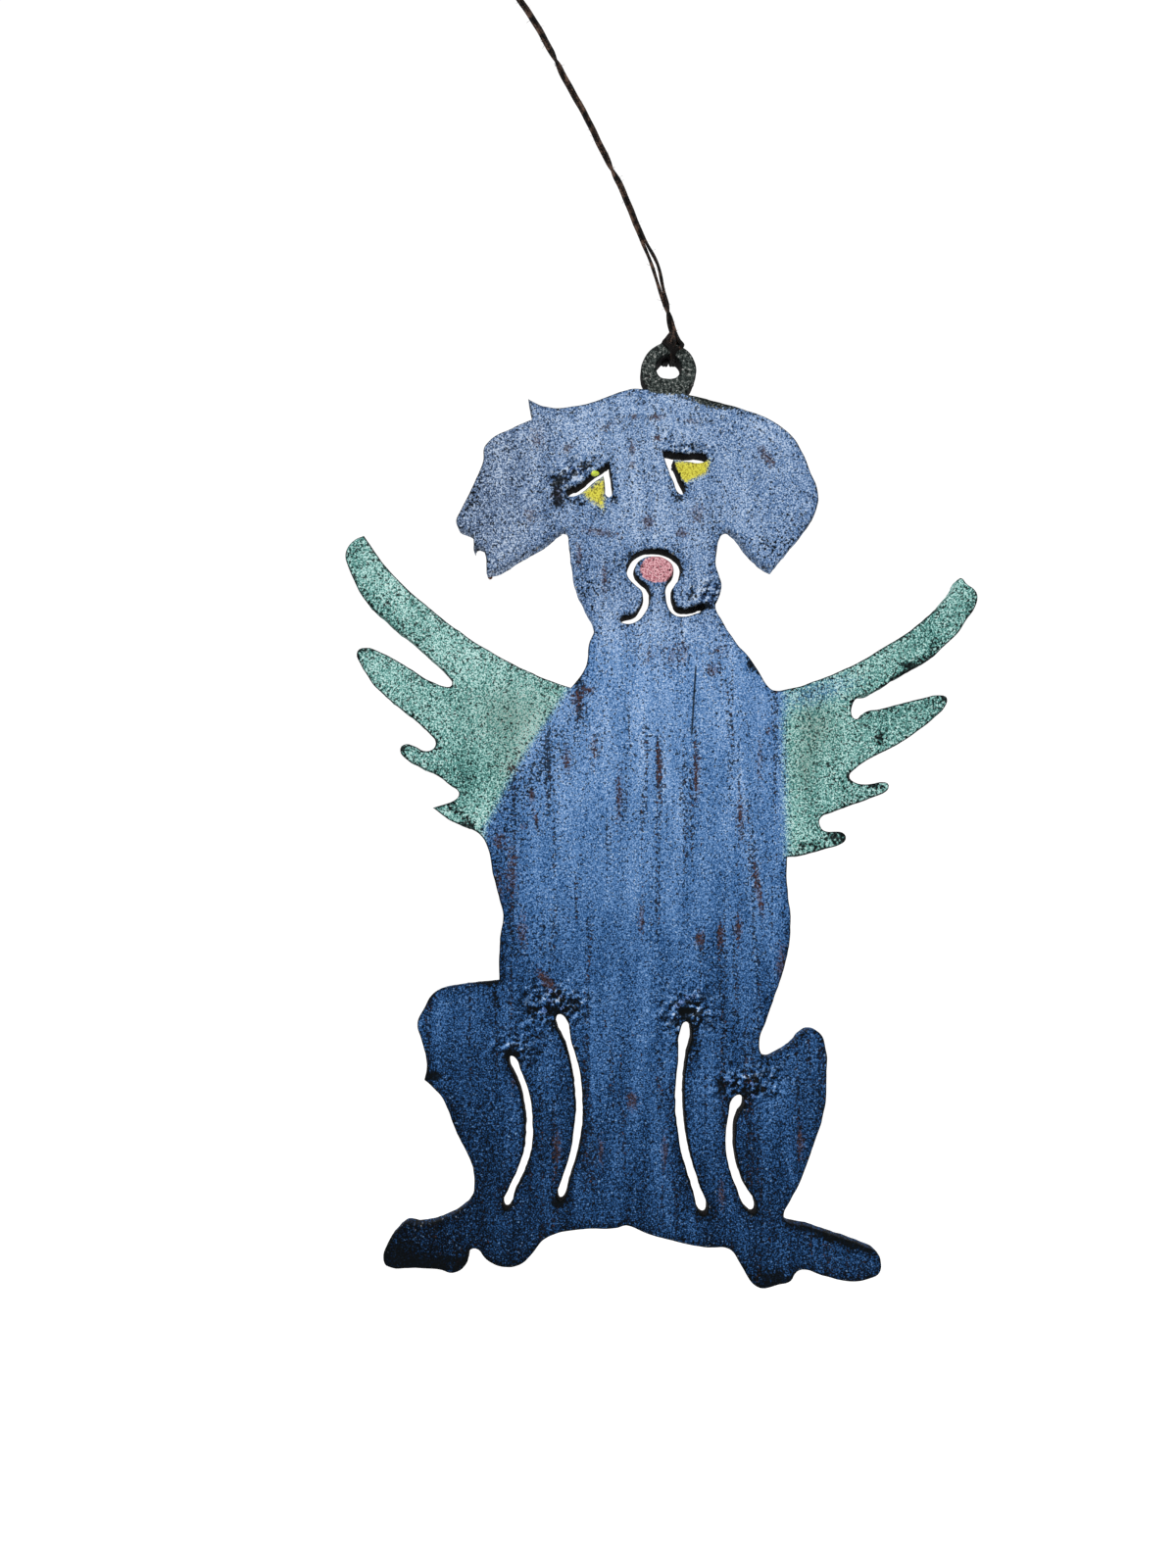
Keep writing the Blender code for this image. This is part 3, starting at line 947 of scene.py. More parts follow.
class Sweep:
    """Round strands that follow paths, gathered into one mesh."""

    def __init__(self, sides: int = 10) -> None:
        """Starts with nothing.

        Args:
            sides: Sides of each strand.
        """
        self.sides = sides
        self.points: list[Array] = []
        self.faces: list[list[int]] = []
        self.uvs: list[list[tuple[float, float]]] = []
        self.wear_and_shade: list[Array] = []
        self.count = 0

    @staticmethod
    def frames(path: Array, closed: bool = False) -> tuple[Array, Array]:
        """Two directions across a path that turn no more than they must.

        Args:
            path: The path's points.
            closed: Whether its end meets its start.

        Returns:
            The two directions at each point.
        """
        if closed:
            along = np.roll(path, -1, axis=0) - np.roll(path, 1, axis=0)
        else:
            along = np.gradient(path, axis=0)
        along /= np.linalg.norm(along, axis=1)[:, None]
        side = np.cross(along[0], (0.31, 1.0, 0.17))
        firsts = []
        for heading in along:
            side = side - heading * (side @ heading)
            side /= np.linalg.norm(side)
            firsts.append(side)
        first = np.array(firsts)
        second = np.cross(along, first)
        if closed:
            drift = math.atan2(first[-1] @ second[0], first[-1] @ first[0])
            turn = -drift * np.linspace(0.0, 1.0, len(path))[:, None]
            first, second = (first * np.cos(turn) + second * np.sin(turn),
                             second * np.cos(turn) - first * np.sin(turn))
        return first, second

    def strand(self, path: Array, radius: float | Array, closed: bool = False,
               wear_and_shade: float | Array = 0.5) -> None:
        """Adds one strand.

        Args:
            path: The strand's centreline.
            radius: Its radius, one or one for each point.
            closed: Whether its end meets its start; an open one gets round ends.
            wear_and_shade: How far its wax is worn off, one or one for each point, lowered where
                shade is painted on.
        """
        path = np.asarray(path, float)
        radii = np.broadcast_to(np.asarray(radius, float), (len(path),)).copy()
        worn = np.broadcast_to(np.asarray(wear_and_shade, float), (len(path),))
        if not closed:
            worn = np.pad(worn, 2, mode="edge")
        first, second = self.frames(path, closed)
        if not closed:
            path, radii, first, second = self.rounded(path, radii, first, second)
        turns = round_turn(self.sides)
        ring = (first[:, None] * np.cos(turns)[None, :, None]
                + second[:, None] * np.sin(turns)[None, :, None])
        points = path[:, None] + ring * radii[:, None, None]
        rows = len(path)
        lengths = lengths_along(path)
        lengths = np.append(lengths, lengths[-1] + np.linalg.norm(path[0] - path[-1]))
        for row in range(rows if closed else rows - 1):
            low, high = row * self.sides, (row + 1) % rows * self.sides
            for k in range(self.sides):
                after = (k + 1) % self.sides
                self.faces.append([self.count + low + k, self.count + low + after,
                                   self.count + high + after, self.count + high + k])
                u, v = k / self.sides, (k + 1) / self.sides
                self.uvs.append([(u, lengths[row]), (v, lengths[row]), (v, lengths[row + 1]),
                                 (u, lengths[row + 1])])
        if not closed:
            top = (rows - 1) * self.sides
            self.faces.append([self.count + k for k in reversed(range(self.sides))])
            self.faces.append([self.count + top + k for k in range(self.sides)])
            self.uvs += [[(0.0, 0.0)] * self.sides, [(0.0, lengths[-2])] * self.sides]
        self.points.append(points.reshape(-1, 3))
        self.wear_and_shade.append(np.repeat(worn, self.sides))
        self.count += rows * self.sides

    @staticmethod
    def rounded(path: Array, radii: Array, first: Array,
                second: Array) -> tuple[Array, Array, Array, Array]:
        """A path with two small rings more at each end, which round it off.

        Args:
            path: The path's points.
            radii: The strand's radius at each.
            first: One direction across the path at each.
            second: The other direction across it.

        Returns:
            The four, with the rings added.
        """
        for end, inner in ((0, 1), (-1, -2)):
            tip, radius = path[end].copy(), radii[end]
            out = (tip - path[inner]) / np.linalg.norm(tip - path[inner])
            across, over = first[end].copy(), second[end].copy()
            for share, reach in ((0.8, 0.45), (0.3, 0.75)):
                slot = 0 if end == 0 else len(path)
                path = np.insert(path, slot, tip + out * radius * reach, axis=0)
                radii = np.insert(radii, slot, radius * share)
                first = np.insert(first, slot, across, axis=0)
                second = np.insert(second, slot, over, axis=0)
        return path, radii, first, second

    def finish(self, name: str, material: Material) -> Piece:
        """Makes one piece of all the strands.

        Args:
            name: The piece's name.
            material: Its finish.

        Returns:
            The piece.
        """
        uvs = np.array([corner for face in self.uvs for corner in face])
        piece = MeshMaker.piece(name, np.vstack(self.points), self.faces, material, uvs)
        MeshMaker.set_mask(piece.data, "wear_and_shade", np.concatenate(self.wear_and_shade))
        return piece


@dataclass(frozen=True)
class FanStrand:
    """One strand of the hitch, from the eye's hole over the ring to where they all meet.

    Attributes:
        face: -1 for up the front of the ring and 1 for up its back.
        low: Its place across in the hole.
        middle: Its place across on top of the ring.
        wear_and_shade: How far its wax is worn off.
    """

    face: float
    low: float
    middle: float
    wear_and_shade: float


@dataclass(frozen=True)
class Twine:
    """The doubled twine: its hitch on the eye, its run, its knot and its loop.

    The route is the model's own, from the top of the hitch to the knot.
    """

    route: tuple[Point, ...] = (
        (0.8, 0.0, 5.85), (0.4, 0.0, 7.2), (-0.3, 0.1, 9.9), (-1.3, 0.2, 13.3),
        (-2.3, 0.3, 16.5), (-3.6, 0.4, 19.6), (-4.9, 0.4, 22.7), (-6.2, 0.4, 25.9),
        (-8.0, 0.3, 29.8), (-9.6, 0.2, 32.8), (-12.0, 0.0, 37.6), (-14.7, -0.1, 42.4),
        (-17.1, -0.2, 46.9), (-19.5, -0.1, 51.4), (-21.9, 0.0, 55.1), (-23.6, 0.0, 57.6),
    )
    route_spacing: float = 0.4
    diameter: float = 0.8
    strand_radius: float = 0.24
    spread: float = 0.23
    foot_swell: float = 0.05
    foot_length: float = 7.0
    crossings: tuple[float, ...] = (3.0, 26.0, 44.0)
    crossing_length: float = 5.0
    parting_at: float = 10.2
    parting_width: float = 0.36
    parting_length: float = 2.8
    fan: tuple[FanStrand, ...] = (
        FanStrand(-1.0, 0.45, -0.75, 0.3), FanStrand(-1.0, 0.55, -0.2, 0.4),
        FanStrand(-1.0, 0.62, 0.35, 1.0), FanStrand(-1.0, 0.7, 0.85, 0.8),
        FanStrand(-1.0, 0.78, 2.0, 0.3), FanStrand(1.0, -0.6, -2.5, 0.0),
        FanStrand(1.0, -0.2, -1.0, 0.0), FanStrand(1.0, 0.5, 0.6, 0.1),
        FanStrand(1.0, 0.9, 2.2, 0.0), FanStrand(1.0, 1.1, 3.0, 0.0),
    )
    fan_spacing: float = 0.22
    gather: Point = (0.8, 0.0, 5.95)
    gather_spread: float = 0.08
    gather_depth: float = 0.16
    ring_radius: float = 4.05
    ring_drop: float = 0.5
    ring_top_depth: float = 1.84
    hole_rise: float = 1.62
    hole_depth: float = 1.2
    foot_rise: float = 1.95
    foot_depth: float = 1.82
    face_depth: float = 1.88
    collars: tuple[tuple[float, float], ...] = ((5.2, 0.42), (5.55, 0.36))
    collar_across: float = 0.86
    collar_depth: float = 0.42
    collar_tilt: float = 0.2
    knot_radius: float = 0.85
    knot_strand: float = 0.3
    knot_gap: float = 0.3
    knot_reach: float = 1.1
    loop_length: float = 8.4
    loop_width: float = 4.2
    whisker_density: float = 0.5e6
    whisker_radius: float = 0.022
    whisker_bend: tuple[Point, Point, Point] = (
        (0.0, 0.0, -0.05), (0.05, 0.0, 0.3), (0.35, 0.1, 0.5),
    )
    whisker_lean: float = 0.9
    whisker_sizes: tuple[float, float] = (0.5, 1.3)

    def run(self, material: Material) -> tuple[Piece, Array]:
        """The two strands from the hitch to the knot, side by side, which cross here and there.

        Args:
            material: The twine's finish.

        Returns:
            The piece and its centreline.
        """
        path = Route(self.route).sampled(self.route_spacing)
        first, second = Sweep.frames(path)
        along = lengths_along(path)
        parting = self.parting_width * np.exp(
            -((along - self.parting_at) / self.parting_length) ** 2)
        swell = self.foot_swell * np.exp(-along / self.foot_length)
        half = self.crossing_length / 2
        crossed = sum(smooth_step(along, at - half, at + half) for at in self.crossings)
        sweep = Sweep()
        for side, wear_and_shade, parted in ((0.0, 0.6, 1.0), (math.pi, 0.9, 0.0)):
            turn = (math.pi * crossed + side + 0.3 * np.sin(along / 3.1 + side))[:, None]
            off = (self.spread + parted * parting + swell)[:, None]
            radius = self.strand_radius * (1 + 0.08 * np.sin(along * 1.7 + side)) + swell
            sweep.strand(
                path + off * (first * np.cos(turn) + second * np.sin(turn)), radius, wear_and_shade=wear_and_shade)
        return sweep.finish("twine_run", material), path

    def hitch(self, material: Material) -> Piece:
        """The strands through the eye, up both faces of the ring and gathered above it.

        Args:
            material: The twine's finish.

        Returns:
            The piece.
        """
        sweep = Sweep()
        hole, foot = self.hole_rise, self.foot_rise
        for strand in self.fan:
            face, low, middle = strand.face, strand.low, strand.middle
            rise = math.sqrt(self.ring_radius**2 - middle**2) - self.ring_drop
            top = np.array((middle, face * self.ring_top_depth, rise))
            lean = (middle - self.gather[0]) * self.gather_spread
            end = np.array(self.gather) + (lean, face * self.gather_depth, 0.0)
            path = Route((
                (low, 0.0, hole), (low, face * self.hole_depth, hole - 0.02),
                (low, face * self.foot_depth, foot),
                ((low + middle) / 2, face * self.face_depth, (2 * rise + foot) / 3), tuple(top),
                tuple(top + (end - top) * 0.3), tuple(top + (end - top) * 0.65), tuple(end),
            )).sampled(self.fan_spacing)
            # In and just above the eye's hole the strands lose their brown: painted shade where
            # they pass through it.
            sweep.strand(path, self.strand_radius * (1.2 - 0.2 * strand.wear_and_shade),
                         wear_and_shade=strand.wear_and_shade * smooth_step(path[:, 2], 1.9, 3.2))
        turn = round_turn(28)
        for rise, wide in self.collars:
            collar = np.column_stack([self.collar_across + wide * np.cos(turn),
                                      self.collar_depth * np.sin(turn),
                                      rise + self.collar_tilt * np.sin(turn + 0.8)])
            sweep.strand(collar, self.strand_radius, closed=True, wear_and_shade=0.0)
        return sweep.finish("twine_hitch", material)

    def knot(self, material: Material) -> Piece:
        """The overhand knot beyond the view.

        Args:
            material: The twine's finish.

        Returns:
            The piece.
        """
        low, high = (np.array(corner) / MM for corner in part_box("cord_end_knot"))
        turn = round_turn(64)
        trefoil = np.stack([np.sin(turn) + 2 * np.sin(2 * turn), -np.sin(3 * turn) * 1.5,
                            np.cos(turn) - 2 * np.cos(2 * turn)], axis=1)
        sweep = Sweep()
        sweep.strand((low + high) / 2 + trefoil / 3 * (self.knot_radius - 0.05), self.knot_strand,
                     closed=True)
        return sweep.finish("twine_knot", material)

    def loop(self, material: Material, path: Array) -> Piece:
        """The small loop for a hook, in line with the run.

        Args:
            material: The twine's finish.
            path: The run's centreline.

        Returns:
            The piece.
        """
        along = path[-1] - path[-2]
        along /= np.linalg.norm(along)
        across = np.array([along[2], 0.0, -along[0]])
        foot = path[-1] + along * (2 * (self.knot_gap + self.knot_reach) + self.diameter / 2)
        turn = round_turn(96)[:, None]
        rise = (1 - np.cos(turn)) / 2
        spread = np.sin(turn) * (0.35 + 0.65 * rise)
        bight = foot + along * self.loop_length * rise + across * self.loop_width / 2 * spread
        first, second = Sweep.frames(bight, closed=True)
        sweep = Sweep()
        for side in (0.0, math.pi):
            phase = 2 * turn + side
            sweep.strand(bight + self.spread * (first * np.cos(phase) + second * np.sin(phase)),
                         self.strand_radius, closed=True)
        return sweep.finish("twine_loop", material)

    def whiskers(self, run: Piece, material: Material) -> Piece:
        """Loose fibres that stand off the run, grown on its surface.

        Args:
            run: The run.
            material: The twine's finish.

        Returns:
            The piece.
        """
        growth = Growth("twine_whiskers", density=self.whisker_density, seed=4)
        graph = growth.graph
        start, middle, end = (tuple(value * MM for value in point) for point in self.whisker_bend)
        bend = graph.add("GeometryNodeCurveQuadraticBezier", {
            "Start": start, "Middle": middle, "End": end, "Resolution": 5}).outputs[0]
        outline = graph.add("GeometryNodeCurvePrimitiveCircle", {
            "Resolution": 3, "Radius": self.whisker_radius * MM}).outputs[0]
        fibre = graph.add("GeometryNodeCurveToMesh", {
            0: bend, 1: outline, "Fill Caps": True}).outputs[0]
        spots = graph.add("GeometryNodeDistributePointsOnFaces", {
            "Mesh": growth.value("Geometry"), "Density": growth.value("density"),
            "Seed": growth.value("seed")})
        lean, turn = self.whisker_lean, growth.FULL_TURN
        turned = growth.random((-lean, -lean, 0.0), (lean, lean, turn), 1)
        leaning = graph.add("FunctionNodeRotateRotation", {0: spots.outputs["Rotation"], 1: turned},
                            rotation_space="LOCAL").outputs[0]
        low, high = self.whisker_sizes
        grown = graph.add("GeometryNodeInstanceOnPoints", {
            "Points": spots.outputs["Points"], "Instance": fibre, "Rotation": leaning,
            "Scale": growth.random((low,) * 3, (high,) * 3, 2)}).outputs[0]
        return growth.bake(run.data, grown, material)

    def build(self) -> None:
        material = WaxedTwine().material()
        run, path = self.run(material)
        hitch, knot = self.hitch(material), self.knot(material)
        loop = self.loop(material, path)
        whiskers = self.whiskers(run, material)
        settle(run, Slot.CORD, "hanging_cord")
        settle(hitch, Slot.CORD, "cord_hitch")
        settle(knot, Slot.CORD, "cord_end_knot")
        settle(loop, Slot.CORD, "cord_end_loop")
        settle(whiskers, Slot.CORD)


class Relief:
    """Smooth random relief over a plane, the same on each run."""

    def __init__(self, seed: int, cells: int = 256) -> None:
        """Draws the relief's corner heights.

        Args:
            seed: The random seed.
            cells: Corners before the relief repeats.
        """
        self.cells = cells
        self.heights = np.random.default_rng(seed).uniform(-1.0, 1.0, (cells, cells))

    def at(self, u: Array, v: Array, size: float) -> Array:
        """The relief's height.

        Args:
            u: Places along one axis.
            v: Places along the other.
            size: Size of its bumps.

        Returns:
            Heights from -1 to 1.
        """
        u, v = np.asarray(u) / size, np.asarray(v) / size
        i, j = np.floor(u).astype(int), np.floor(v).astype(int)
        a, b = u - i, v - j
        a, b = a * a * (3 - 2 * a), b * b * (3 - 2 * b)
        h, n = self.heights, self.cells
        low = h[i % n, j % n] * (1 - a) + h[(i + 1) % n, j % n] * a
        high = h[i % n, (j + 1) % n] * (1 - a) + h[(i + 1) % n, (j + 1) % n] * a
        return low * (1 - b) + high * b


@dataclass
class CutEdge:
    """One closed cut edge of the plate: evenly spaced points in x, z with the metal on the left."""

    points: Array
    inset: Array = field(default_factory=lambda: np.zeros(0))

    CORNER_ANGLE = math.radians(40)

    @property
    def outward(self) -> Array:
        """The direction out of the metal at each point.

        Returns:
            The directions, of unit length.
        """
        step = np.roll(self.points, -1, axis=0) - np.roll(self.points, 1, axis=0)
        step /= np.linalg.norm(step, axis=1)[:, None]
        return np.column_stack([step[:, 1], -step[:, 0]])

    def moved(self, distance: Array) -> Array:
        """The points, each moved out of the metal by a distance."""
        return self.points + self.outward * distance[:, None]

    @property
    def rim(self) -> Array:
        """Where the face ends, a little inside the edge."""
        return self.moved(-self.inset)

    def crossed_rim(self) -> Array:
        """Marks the points at which the rim would cross itself in a tight corner.

        Returns:
            Whether it would, for each point.
        """
        start = self.rim
        step = np.roll(start, -1, axis=0) - start
        crossed = np.sum(step * (np.roll(self.points, -1, axis=0) - self.points), axis=1) <= 0
        for gap in range(2, 9):
            other, turn = np.roll(start, -gap, axis=0), np.roll(step, -gap, axis=0)
            between = other - start
            area = step[:, 0] * turn[:, 1] - step[:, 1] * turn[:, 0]
            area = np.where(np.abs(area) < 1e-9, 1e-9, area)
            a = (between[:, 0] * turn[:, 1] - between[:, 1] * turn[:, 0]) / area
            b = (between[:, 0] * step[:, 1] - between[:, 1] * step[:, 0]) / area
            hit = (a > -0.1) & (a < 1.1) & (b > -0.1) & (b < 1.1)
            for along in range(gap + 2):
                crossed |= np.roll(hit, along)
        return crossed

    def sway(self, ripple: Relief, row: float, reach: float, spacing: float) -> None:
        """Moves the edge in and out by the torch's small unsteadiness.

        Args:
            ripple: The unsteadiness.
            row: Which part of it to read.
            reach: How far it moves the edge.
            spacing: How far apart the points lie.
        """
        s = np.arange(len(self.points)) * spacing
        move = ripple.at(s, s * 0 + row, 1.7) + 0.6 * ripple.at(s, s * 0 + row + 0.5, 0.7)
        self.points = self.moved(reach * move)

    @classmethod
    def smoothed(cls, corners: Array, spacing: float) -> CutEdge:
        """An even edge through the model's coarse one, with its sharp corners kept.

        Args:
            corners: The coarse edge's points.
            spacing: About how far apart the even points lie.

        Returns:
            The even edge.
        """
        points = corners
        ahead, behind = np.roll(points, -1, axis=0) - points, points - np.roll(points, 1, axis=0)
        turn = np.arctan2(behind[:, 0] * ahead[:, 1] - behind[:, 1] * ahead[:, 0],
                          np.sum(behind * ahead, axis=1))
        sharp = np.abs(turn) > cls.CORNER_ANGLE
        for _ in range(2):
            after, two, before = (np.roll(points, -k, axis=0) for k in (1, 2, -1))
            middle = (9 * (points + after) - before - two) / 16
            plain = sharp | np.roll(sharp, -1)
            middle[plain] = ((points + after) / 2)[plain]
            points = np.stack([points, middle], axis=1).reshape(-1, 2)
            sharp = np.stack([sharp, np.zeros_like(sharp)], axis=1).ravel()
        starts = np.flatnonzero(sharp)
        if len(starts) == 0:
            starts = np.array([0])
        points = np.roll(points, -starts[0], axis=0)
        starts = np.append(starts - starts[0], len(points))
        closed = np.vstack([points, points[:1]])
        even = []
        for begin, end in zip(starts, starts[1:]):
            run = closed[begin:end + 1]
            reach = lengths_along(run)
            at = np.linspace(0.0, reach[-1], max(2, round(reach[-1] / spacing) + 1))[:-1]
            even.append(np.column_stack([np.interp(at, reach, run[:, k]) for k in (0, 1)]))
        return cls(np.vstack(even))


@dataclass(frozen=True)
class Blot:
    """A soft patch of a painted mask, turned by an angle in degrees."""

    x: float
    z: float
    wide: float
    tall: float
    strength: float
    angle: float = 0.0

    def at(self, x: Array, z: Array) -> Array:
        """The patch's strength at each place.

        Args:
            x: The places across.
            z: The places up.

        Returns:
            The strength there.
        """
        c, s = math.cos(math.radians(self.angle)), math.sin(math.radians(self.angle))
        u = ((x - self.x) * c + (z - self.z) * s) / self.wide
        v = ((z - self.z) * c - (x - self.x) * s) / self.tall
        return self.strength * np.exp(-(u * u + v * v))


def nearest_of(points: Array) -> KDTree:
    """A tree that finds the nearest of the points of a plane.

    Args:
        points: The points, in x and z.

    Returns:
        The tree.
    """
    tree = KDTree(len(points))
    for i, (x, z) in enumerate(points):
        tree.insert((x, z, 0.0), i)
    tree.balance()
    return tree


def patches(*rows: tuple[float, ...]) -> tuple[Blot, ...]:
    """Patches from rows of their place, size, strength and angle."""
    return tuple(Blot(*row) for row in rows)


def blots(x: Array, z: Array, parts: Iterable[Blot]) -> Array:
    """All the patches added up at each place."""
    return sum((part.at(x, z) for part in parts), np.zeros_like(x))


def inside(x: Array, z: Array, corners: Sequence[tuple[float, float]], soft: float) -> Array:
    """How far inside a convex outline each place lies.

    Args:
        x: Places across.
        z: Places up.
        corners: The outline's corners, anticlockwise.
        soft: Width of its soft edge.

    Returns:
        1 well inside, 0 well outside and 0.5 on the outline.
    """
    depth = np.full_like(x, np.inf)
    for (ax, az), (bx, bz) in zip(corners, [*corners[1:], corners[0]]):
        length = math.hypot(bx - ax, bz - az)
        depth = np.minimum(depth, ((bx - ax) * (z - az) - (bz - az) * (x - ax)) / length)
    return smooth_step(depth, -soft / 2, soft / 2)


